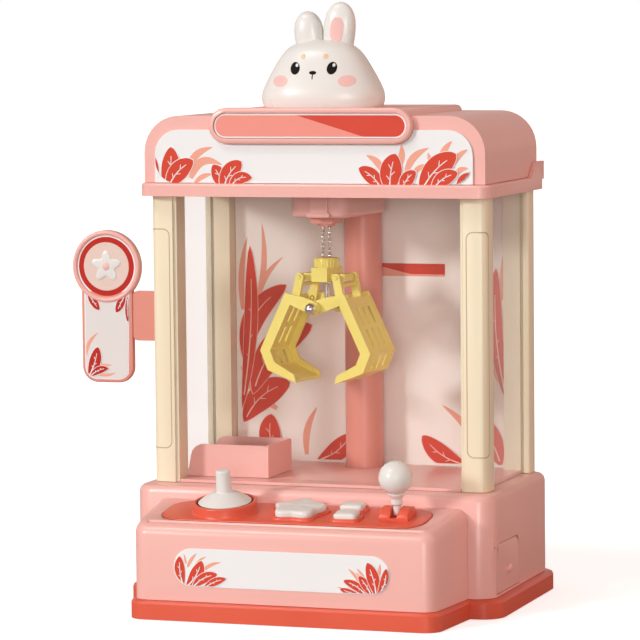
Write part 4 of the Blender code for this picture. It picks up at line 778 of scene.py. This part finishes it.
def makeChains():
    # beads at an even pitch along each chain, on a thin wire; only the wire goes on to the drum
    pitch, radius, wire = chains["pitch"], chains["bead"], chains["wire"]
    for name in ("chain_left", "chain_right"):
        low, high = boxOf(name)
        x, y = (low.x + high.x) / 2, (low.y + high.y) / 2
        count = int((high.z - chains["bare"] - low.z) / pitch)
        beads = [ball(radius, (x, y, low.z + radius + pitch * i), 14) for i in range(count)]
        core = moved(turned([(wire, low.z), (wire, high.z)], 8), x, y)
        piece(name + "Beads", [*beads, core], chrome, "claw_hub", [name], 180)


# half width, foot, top, how far it stands out, and corner radius
guideSteps = ((6.6, 262.6, 279, 1.4, 1.4), (8.4, 261.4, 264.6, 2.1, 1.5))


def makeGuide():
    # an upright guide on the front of the boom's head, with a wider round-cornered foot
    low, high = boxOf("trolley")
    middle, front = (low.x + high.x) / 2, boxOf("boom_arm")[0].y
    shapes = [slab(boxCorners(middle - half, foot, middle + half, top), corner, front - out, front + 0.6,
                   0.7, 0, "Y", 6, 4) for half, foot, top, out, corner in guideSteps]
    piece("boomGuide", shapes, pink, frame["nodes"]["boom_arm"]["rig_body"])


makeCollar()
makePinEnds()
makeChains()
makeGuide()
print("claw made")

# Topper: a rounded head that narrows upwards, two ears and a plain printed face

head = {"x": -3, "y": -26, "low": 335.3, "power": 2.5, "depth": 0.615,
        "rows": [(0, 39.2), (1.2, 40.6), (5, 42.0), (11, 41.6), (18, 38.6), (26, 34.2), (33, 30.0),
                 (38, 26.0), (42, 20.6), (44.6, 13.5), (45.8, 6.0)]}
earSet = {"right": {"x": 9.2, "lean": 5, "half": 11.0, "deep": 6.3, "low": 33, "high": 71.2},
          "left": {"x": -8.6, "lean": -7, "half": 9.9, "deep": 7.4, "low": 33, "high": 65.2}}
earForm = {"corner": 0.84, "foot": 0.78, "widest": 0.5, "narrowFrom": 0.52, "narrowPower": 2.3}
earInside = {"half": 4.8, "rise": 8.4, "middle": 52.5}


def headHalf(height):
    # half width at a height above the head's base, from a smooth curve through the rows
    curve = smoothLine(head["rows"], 240)
    return np.interp(height, curve[:, 0], curve[:, 1])


def makeHead():
    # each ring is a superellipse: |cos|^(2/p) across and |sin|^(2/p) deep
    angle = fullTurn(112)
    across, deep = bent(np.cos(angle), 2 / head["power"]), bent(np.sin(angle), 2 / head["power"])
    heights = [0, 0, 0.4, 1, 2.2, 4, *np.linspace(6, head["rows"][-1][0], 44)]
    halves = headHalf(heights)
    halves[0] *= 0.6
    rings = [np.stack([half * across, head["depth"] * half * deep, np.full_like(angle, height)], 1)
             for half, height in zip(halves, heights)]
    body = moved(lofted(rings), head["x"], head["y"], head["low"])
    ears = [placed(earShape(ear), earPlace(ear)) for ear in earSet.values()]
    piece("topperHead", [body, *ears], white, "cabinet", ["topper_head"], 60)


def earShape(ear):
    # an upright slab with soft corners: it widens as a sine from the foot, then narrows as a root to the tip
    angle = fullTurn(64)
    across, deep = bent(np.cos(angle), earForm["corner"]), bent(np.sin(angle), earForm["corner"])
    start, narrow = earForm["foot"], earForm["narrowFrom"]
    rings = []
    for t in np.linspace(0.02, 0.996, 30):
        tip = math.sqrt(1 - max(0.0, (t - narrow) / (1 - narrow)) ** earForm["narrowPower"])
        foot = start + (1 - start) * math.sin(min(t / earForm["widest"], 1) * math.pi / 2)
        rings.append(np.stack([ear["half"] * tip * foot * across, ear["deep"] * tip ** 0.8 * foot * deep,
                               np.full_like(angle, ear["low"] + t * (ear["high"] - ear["low"]))], 1))
    return lofted(rings)


def earPlace(ear):
    # leans the ear about its foot and stands it on the head
    foot = Vector((head["x"] + ear["x"], head["y"] + 3, head["low"] + ear["low"]))
    lean = Matrix.Rotation(math.radians(ear["lean"]), 4, "Y")
    return Matrix.Translation(foot) @ lean @ Matrix.Translation((0, 0, -ear["low"]))


def facePatch(x, height, halfX, halfZ, lean=0.0, lift=0.16):
    # an oval laid on the head's superellipse: rings that shrink to the middle, the outermost one sunk
    angle, turn = fullTurn(40), math.radians(lean)
    rings = []
    for share in (1.0, 0.97, 0.85, 0.6, 0.3):
        u, v = halfX * share * np.cos(angle), halfZ * share * np.sin(angle)
        across = x + u * math.cos(turn) - v * math.sin(turn)
        up = height + u * math.sin(turn) + v * math.cos(turn)
        half = headHalf(up)
        reach = np.clip(1 - np.abs(across / half) ** head["power"], 0.001, 1) ** (1 / head["power"])
        out = head["depth"] * half * reach + (lift if share < 1 else -0.25)
        rings.append(np.stack([head["x"] + across, head["y"] - out, head["low"] + up], 1))
    return lofted(rings, (False, True))


def makeFace():
    # ovals for the eyes, nose, cheeks and brows, and a small pale one high on each eye
    sides = (-1, 1)
    eyes = [facePatch(side * 13, 27, 3.5, 4.3, side * -8) for side in sides]
    nose = [facePatch(0, 24, 2.6, 1.3), facePatch(0, 21.4, 0.4, 2.0)]
    shine = [facePatch(side * 13 + 1.2, 29, 1.0, 1.2, 0, 0.3) for side in sides]
    cheeks = [facePatch(side * 23.5, 18.5, 5.8, 3.9) for side in sides]
    brows = [facePatch(side * 8.0, 34.8, 1.9, 1.9) for side in sides]
    for name, patches, look in (("Eyes", eyes + nose, ink), ("EyeShine", shine, white),
                                ("Cheeks", cheeks, blush), ("Brows", brows, tan)):
        piece("topper" + name, patches, look, "cabinet", angle=60, outward=False)


def makeEarInside():
    # a soft-cornered patch that follows the ear's front, y = -deep (1 - |x / half|^p)^(1/p)
    ear, angle, power = earSet["right"], fullTurn(48), 2.38
    rings = []
    for share in (1.0, 0.96, 0.8, 0.5, 0.2):
        x = earInside["half"] * share * bent(np.cos(angle), 0.75)
        z = earInside["rise"] * share * bent(np.sin(angle), 0.75)
        out = ear["deep"] * np.clip(1 - np.abs(x / ear["half"]) ** power, 0, 1) ** (1 / power)
        rings.append(np.stack([x, -out - (0.1 if share < 1 else -0.6), z + earInside["middle"]], 1))
    patch = placed(lofted(rings, (False, True)), earPlace(ear))
    piece("topperEarInside", [patch], blush, "cabinet", angle=60, outward=False)


makeHead()
makeFace()
makeEarInside()
print("topper made")

# Prints: leaves with veins and thin blades, each laid on a plane facing the front


def onFront(y):
    # a plane that faces -Y: across is x, up is z, and lift stands out towards the front
    def place(across, up, lift):
        return np.stack([across, y - lift, up], -1)
    return place


def within(x0, z0, x1, z1, radius):
    # moves a point to the nearest one inside a rectangle with round corners
    low, high = np.array([x0 + radius, z0 + radius]), np.array([x1 - radius, z1 - radius])

    def keep(points):
        core = np.clip(points, low, high)
        out = points - core
        far = np.linalg.norm(out, axis=1, keepdims=True)
        return core + out * np.minimum(1, radius / np.maximum(far, 1e-6))
    return keep


def strip(place, line, half, low, high, keep):
    # a flat band along a line, half as wide each side, closed all round from low to high
    run = np.gradient(line, axis=0)
    run /= np.linalg.norm(run, axis=1, keepdims=True)
    side = np.stack([-run[:, 1], run[:, 0]], 1) * half[:, None]
    left, middle, right = [keep(edge) for edge in (line + side, line, line - side)]
    return lofted(np.stack([place(*edge.T, np.full(len(line), height)) for edge, height in
                            ((left, low), (left, high), (middle, high), (right, high), (right, low))], 1))


def bowed(base, tip, bend, count):
    # points from base to tip on a line that bows sideways as a sine, by a share of its length
    base, tip = np.array(base, float), np.array(tip, float)
    t = np.linspace(0, 1, count)
    across = np.array([base[1] - tip[1], tip[0] - base[0]])
    return base + (tip - base) * t[:, None] + across * (bend * np.sin(math.pi * t))[:, None], t


def leaf(place, base, tip, width, bend, keep, lift):
    # half width runs as a sine whose peak is past the middle; a pale edge lies under it, and veins lie on it
    line, t = bowed(base, tip, bend, 26)
    low, vein = lift + prints["sunk"], lift + prints["vein"]
    half = np.maximum(width / 2 * np.sin(math.pi * t ** 1.15) ** 0.62, 0.03)
    thick = min(1.0, width / 9 + 0.25)
    longer = line + (line - line.mean(0)) * (0.7 * thick / math.dist(base, tip))
    marks = [strip(place, longer, half + 0.36 * thick, low, lift + prints["edge"], keep),
             strip(place, line[2:21], np.linspace(0.5, 0.22, 19) * thick, low, vein, keep)]
    for at, side in ((8, 1), (11, -1), (15, 1)):
        run = line[at + 1] - line[at - 1]
        run = run / np.linalg.norm(run)
        lean = np.array([-run[1], run[0]]) * side
        branch = line[at] + (run * 0.75 + lean * 0.7) * np.linspace(0, width * 0.26, 6)[:, None]
        marks.append(strip(place, branch, np.linspace(0.34, 0.16, 6) * thick, low, vein, keep))
    return strip(place, line, half, low, lift + prints["leaf"], keep), marks


def blade(place, base, tip, width, bend, keep, lift):
    # half width runs as a sine that has already risen at the base
    line, t = bowed(base, tip, bend, 20)
    half = np.maximum(width / 2 * np.sin(math.pi * (t * 0.86 + 0.14)) ** 0.8, 0.03)
    return strip(place, line, half, prints["sunk"], prints["blade"] + lift, keep)


# heights over the plane; each leaf or blade lies a step over the last, so overlapping ones part cleanly
prints = {"sunk": -0.3, "edge": 0.02, "blade": 0.04, "leaf": 0.05, "vein": 0.07, "leafFirst": 0.25,
          "leafStep": 0.07, "bladeStep": 0.02}


def printLeaves(name, body, place, keep, reds, salmons, veinLook, leafLook=leafRed):
    # each row of reds and salmons is base x and z, tip x and z, width and bow
    first, step = prints["leafFirst"], prints["leafStep"]
    blades = [blade(place, row[:2], row[2:4], *row[4:], keep, prints["bladeStep"] * number)
              for number, row in enumerate(salmons)]
    leaves = [leaf(place, row[:2], row[2:4], *row[4:], keep, first + step * number)
              for number, row in enumerate(reds)]
    piece(name + "Blades", blades, leafSalmon, body, angle=30)
    piece(name + "Leaves", [shape for shape, marks in leaves], leafLook, body, angle=30)
    piece(name + "Veins", [mark for shape, marks in leaves for mark in marks], veinLook, body, angle=30)


headerReds = [(-114, 281, -113, 304, 9, 0.0), (-105, 280, -100, 310, 13, -0.06),
              (-103, 281, -84, 301, 13, 0.1), (-62, 281, -70, 298, 10, -0.06),
              (-63, 280, -49.5, 300.5, 12.5, 0.1), (-58, 282, -42, 289.5, 8, 0.2),
              (50, 281, 33.5, 296.5, 10, -0.1), (55, 280, 59, 306, 15, 0.05),
              (63, 281, 73, 294.5, 9, 0.1), (76, 280, 101, 306, 16, 0.08),
              (84, 281, 102, 293.5, 10, 0.12), (102, 281, 113, 292.5, 9, 0.1)]
headerSalmons = [(-91, 297, -96.5, 306.5, 3.4, 0.08), (-88, 294, -70, 310, 5.2, 0.16),
                 (-86, 289, -63, 298, 5.6, 0.3), (-83, 286, -70, 292, 3.4, 0.1),
                 (50, 294, 38.5, 305, 4.6, -0.12), (61, 297, 63, 312, 4.6, -0.08),
                 (66, 293, 82, 310, 5, 0.14), (70, 290, 84, 298, 3.6, 0.2),
                 (85, 297, 81.5, 307, 3.2, 0.05), (90, 300, 98, 314.5, 4.6, 0.1),
                 (99, 299, 108.5, 309, 3.6, 0.1), (100, 291, 109, 296.5, 3.6, 0.2)]
printLeaves("header", "cabinet", onFront(-61), within(-111.4, 285.6, 111.4, 321, 15),
            headerReds, headerSalmons, card)

labelReds = [(-68, 23, -70.4, 43, 7.4, 0.06), (-66, 22.5, -55, 40.5, 9, -0.08),
             (-62, 22, -44, 32, 6.6, 0.1), (-54, 22, -38, 29.4, 5, 0.06), (55, 22, 41, 26.2, 4, 0),
             (60, 22, 43.6, 31.6, 5.6, -0.08), (63, 22, 54, 35, 6, -0.05), (66, 22, 60, 44, 8.4, -0.05),
             (67, 22.5, 72.8, 40.5, 6.6, -0.1)]
labelSalmons = [(-66, 38, -67.6, 45, 1.4, 0), (-65, 36, -58.5, 45.5, 2.3, 0.06),
                (-60, 36.5, -51.5, 43.4, 1.6, 0.1), (-55, 33, -41.5, 40, 2.4, 0.1),
                (-55, 31, -45.5, 33.6, 1.5, 0.1), (54, 31, 46.6, 39.6, 2.0, -0.06),
                (58, 34, 52.6, 40, 1.6, 0), (58, 33.5, 52, 37.4, 1.4, 0.1), (68, 36, 68.4, 43.6, 1.9, 0),
                (47, 26.6, 39, 27.2, 1.3, 0.05)]
label = {"half": 75, "low": 23, "high": 48.4, "corner": 12.6, "front": -130.5, "rear": -129.4, "edge": 0.8}


def makeLabel():
    # a thin plate with round corners on the console's front, and its leaves
    half, low, high, edge = label["half"], label["low"], label["high"], label["edge"]
    shape = slab(boxCorners(-half, low, half, high), label["corner"], label["front"], label["rear"],
                 0.25, 0, "Y", 14, 3)
    piece("consoleLabel", [shape], card, "cabinet")
    printLeaves("label", "cabinet", onFront(label["front"]),
                within(edge - half, low + edge, half - edge, high - edge, label["corner"] - edge),
                labelReds, labelSalmons, card)


backReds = [(-95, 110, -60, 139, 19, 0.12), (-88, 130, -43, 180, 21, 0.14),
            (-93, 150, -62, 208, 16, 0.16), (-96, 120, -89, 235, 10, -0.03), (99, 130, 92, 222, 10, 0.04),
            (95, 84, 70, 120, 17, -0.1), (70, 84, 38, 104, 14, 0.1), (-40, 84, -14, 104, 14, -0.1),
            (-70, 84, -74, 116, 16, 0.1)]
backSalmons = [(-95, 190, -91, 242, 4.6, 0.05), (-84, 196, -80, 252, 4.4, -0.06),
               (-84, 196, -64, 228, 4.0, 0.1), (-70, 120, -97, 150, 5.5, 0.1),
               (96, 200, 97.5, 234, 4.2, 0), (98, 138, 90, 164, 5, 0.08), (80, 90, 52, 126, 5.5, -0.1),
               (-48, 88, -40, 122, 5, 0.1)]
wallBar = {"left": 9, "right": 55, "low": 215.6, "high": 224.4, "front": 61.15}


def makeBackPrint():
    # leaves, then a short bar with a darker wedge along its top
    printLeaves("backWall", "back_door", onFront(wallBar["front"] + 0.15), within(-99, 85, 99, 276, 3),
                backReds, backSalmons, pinkLine)
    left, right, high, front = wallBar["left"], wallBar["right"], wallBar["high"], wallBar["front"]
    bar = slab(boxCorners(left, wallBar["low"], right, high), 0.6, front, front + 0.45, 0, 0, "Y", 2, 1)
    piece("backWallBar", [bar], leafSalmon, "back_door")
    wedge = outline([(left, high), (left, 222), (30, 217), (right, 217), (right, high)], 0.3, 0, 2)
    shape = lofted([raised(wedge, y, "Y") for y in (front - 0.1, front + 0.35)])
    piece("backWallWedge", [shape], leafRed, "back_door")


makeLabel()
makeBackPrint()
print("prints made")

# Nameplate: a pale line round a two-tone bar

plate = {"low": 316.2, "high": 332.6, "half": 67.6, "corner": 8.1, "front": -64.6, "rear": -63.2, "line": 1.1}


def makeNameplate():
    # a plate with round ends, and a smaller one on it
    half, low, high, front, line = plate["half"], plate["low"], plate["high"], plate["front"], plate["line"]
    back = slab(boxCorners(-half, low, half, high), plate["corner"], front, plate["rear"],
                0.25, 0, "Y", 12, 3)
    piece("nameplateLine", [back], card, "cabinet", ["nameplate_insert"])
    bar = slab(boxCorners(line - half, low + line, half - line, high - line), plate["corner"] - line,
               front - 0.25, front + 0.2, 0.15, 0, "Y", 12, 3)
    piece("nameplateBar", [bar], twoTone, "cabinet")


makeNameplate()

# Sign: stepped rings round a pale disc with a flower, and a printed board under it

sign = {"x": -154, "z": 227.5, "front": 49, "rear": 42.5, "ring": 23.1, "soft": 1.7, "well": 21.3}
petals = {"radius": 8.8, "lobe": 2.3, "middle": 2.7}
board = {"half": 18.8, "low": 147.7, "high": 211, "corner": 11, "front": -47.5, "rear": -43, "cut": 22.6}


def signTurned(profile, sides=96):
    # rows of (radius, distance towards the front) turned about the disc's own axis
    place = Matrix.Translation((sign["x"], 0, sign["z"])) @ Matrix.Rotation(math.pi / 2, 4, "X")
    return placed(turned(profile, sides), place)


def makeSignDisc():
    # a turned ring whose crest is part of a circle, and three thin discs stepped up inside it
    front, rear, ring, soft, well = sign["front"], sign["rear"], sign["ring"], sign["soft"], sign["well"]
    base = front - soft
    crest = [(ring + soft * math.sin(a), base + soft * math.cos(a))
             for a in np.linspace(math.pi / 2, -1.1, 12)]
    profile = [(2, rear), (23.6, rear), (24.5, rear + 0.3), (24.8, rear + 1), *crest, (well, front - 1.4),
               (well - 0.05, base), (2, base)]
    piece("signRing", [signTurned(profile)], pink, "cabinet", ["sign_disc"], 40)
    for name, outer, lift, look in (("signWhiteRing", well, 0.15, card), ("signRedRing", 20.3, 0.3, deepRed),
                                    ("signFace", 16.6, 0.45, discPink)):
        top = base + lift
        profile = [(0.5, base - 0.3), (outer, base - 0.3), (outer, top - 0.1), (outer - 0.1, top), (0.5, top)]
        piece(name, [signTurned(profile)], look, "cabinet")


def makeSignFlower():
    # a plain five-petalled flower on the disc: its edge radius swells with cos 5a
    angle, front = fullTurn(100), sign["front"]
    edge = petals["radius"] + petals["lobe"] * np.cos(5 * (angle - math.pi / 2))
    rings = []
    for share, lift in ((1, -0.3), (1, 0.6), (0.95, 0.85), (0.8, 1.0), (0.4, 1.05)):
        x, z = edge * share * np.cos(angle), edge * share * np.sin(angle)
        rings.append(np.stack([sign["x"] + x, np.full_like(angle, 1.6 - front - lift), sign["z"] + z], 1))
    piece("signFlower", [lofted(rings)], white, "cabinet", angle=40)
    radius = petals["middle"]
    profile = [(0.4, front - 1.5), (radius, front - 1.5), (radius, front - 0.5), (radius - 0.7, front - 0.15),
               (0.4, front)]
    piece("signFlowerMiddle", [signTurned(profile, 40)], blush, "cabinet", angle=40)


def makeSignBoard():
    # a slab with round bottom corners
    x, low, front, corner = sign["x"], board["low"], board["front"], board["corner"]
    corners = boxCorners(x - board["half"], low, x + board["half"], board["high"])
    shape = slab(corners, [corner, corner, 1, 1], front, board["rear"], 1.1, 0.6, "Y", 12, 5)
    piece("signBoard", [shape], rose, "cabinet", ["sign_board"])
    # its line and its face keep those corners, and their top edge follows the ring above
    for name, inset, lift, look in (("Line", 2.1, 0.12, card), ("Face", 2.9, 0.3, panelGrey)):
        half, radius = board["half"] - inset, corner - inset
        foot = outline(boxCorners(x - half, low + inset, x + half, sign["z"]), [radius, radius, 1, 1], 0, 12)
        reach = math.asin(half / board["cut"])
        turn = np.linspace(reach, -reach, 31)
        arc = np.stack([x + board["cut"] * np.sin(turn), sign["z"] - board["cut"] * np.cos(turn)], 1)
        face = np.concatenate([foot[:22], arc])
        rings = [raised(face, y, "Y") for y in (front + 0.5, front - lift + 0.08, front - lift)]
        piece("signBoard" + name, [lofted(rings)], look, "cabinet")


signReds = [(-168, 209, -159.5, 197.5, 5.4, 0), (-140, 209, -147, 196, 5.6, 0),
            (-138.6, 207, -138.6, 190, 3.4, 0), (-168, 151, -161, 172, 8.4, -0.05),
            (-167, 151.5, -153.5, 157.5, 5, 0.1)]
signSalmons = [(-170, 166, -160.5, 182, 2.6, 0.12), (-163, 158.5, -150.5, 159.5, 2, 0.05),
               (-160, 152.5, -148, 154.5, 2, -0.05)]
makeSignDisc()
makeSignFlower()
makeSignBoard()
signField = within(sign["x"] - 15.8, board["low"] + 3, sign["x"] + 15.8, 212, 8)
printLeaves("sign", "cabinet", onFront(board["front"] - 0.3), signField, signReds, signSalmons, card, deepRed)
print("sign made")

# Back and roof: screws, vent slots and a raised edge round the loading door

backSide = {"base": 71.5, "header": 70, "door": 68.3}
screws = {"cabinet": [(x, backSide["base"], z) for x in (-112, 112) for z in (22, 70)]
          + [(x, backSide["header"], 303) for x in (-100, 100)],
          "back_door": [(x, backSide["door"], z) for x in (-82, 82) for z in (92, 266)]}
vents = {"low": 302, "high": 318, "half": 1.3, "pitch": 8, "reach": 36}
doorRim = {"edge": 5, "corner": 7, "half": 1.1, "high": 0.7}
screw = {"head": 3.0, "dome": 0.5, "seat": 3.8, "slotHalf": (1.7, 0.35)}


def makeScrews():
    # a domed head sunk in a dark seat, with a cross of two dark slots on it: the seat and the slots are
    # painted shade, for the recess round the head and the slots cut in it
    head, edge, (long, narrow) = screw["head"], screw["seat"], screw["slotHalf"]
    dome = [(head * math.sin(a), 0.1 + screw["dome"] * math.cos(a)) for a in np.linspace(0.15, math.pi / 2, 6)]
    top = turned([*dome, (head, -0.3), (1, -0.3)], 40)
    seat = turned([(1, 0.09), (edge - 0.3, 0.09), (edge, 0), (edge, -0.4), (1, -0.4)], 40)
    cross = [slab(boxCorners(-a, -b, a, b), 0.1, 0.3, 0.66, 0, 0.05, "Z", 2, 2)
             for a, b in ((long, narrow), (narrow, long))]
    for body, spots in screws.items():
        turn = [Matrix.Translation(spot) @ Matrix.Rotation(-math.pi / 2, 4, "X") for spot in spots]
        piece(body + "ScrewHeads", [placed(top, at) for at in turn], bright, body)
        piece(body + "ScrewSeatShade", [placed(shape, at) for at in turn for shape in (seat, *cross)], grey, body)


def makeVents():
    # a row of upright dark slots in the rear of the header: thin dark plates on its face, painted shade where
    # the vent openings are
    half, reach, back = vents["half"], vents["reach"], backSide["header"]
    slots = [slab(boxCorners(x - half, vents["low"], x + half, vents["high"]), half - 0.05,
                  back - 0.3, back + 0.06, 0, 0, "Y", 6, 1)
             for x in np.arange(-reach, reach + 1, vents["pitch"])]
    piece("headerVentShade", slots, grey, "cabinet")


def makeDoorRim():
    # a low rounded ridge, half an ellipse in section, led round the door's face
    low, high = boxOf("back_door")
    edge, half, back = doorRim["edge"], doorRim["half"], backSide["door"]
    corners = boxCorners(low.x + edge, low.z + edge, high.x - edge, high.z - edge)
    rows = [(half * (1 - math.cos(a)), back + doorRim["high"] * math.sin(a) - 0.05)
            for a in np.linspace(0, math.pi, 9)]
    rings = [raised(outline(corners, doorRim["corner"], inset, 10), y, "Y")
             for inset, y in [*rows, (half, back - 0.4)]]
    piece("backDoorRim", [looped(rings)], pale, "back_door", angle=50)


makeScrews()
makeVents()
makeDoorRim()
print("back made")
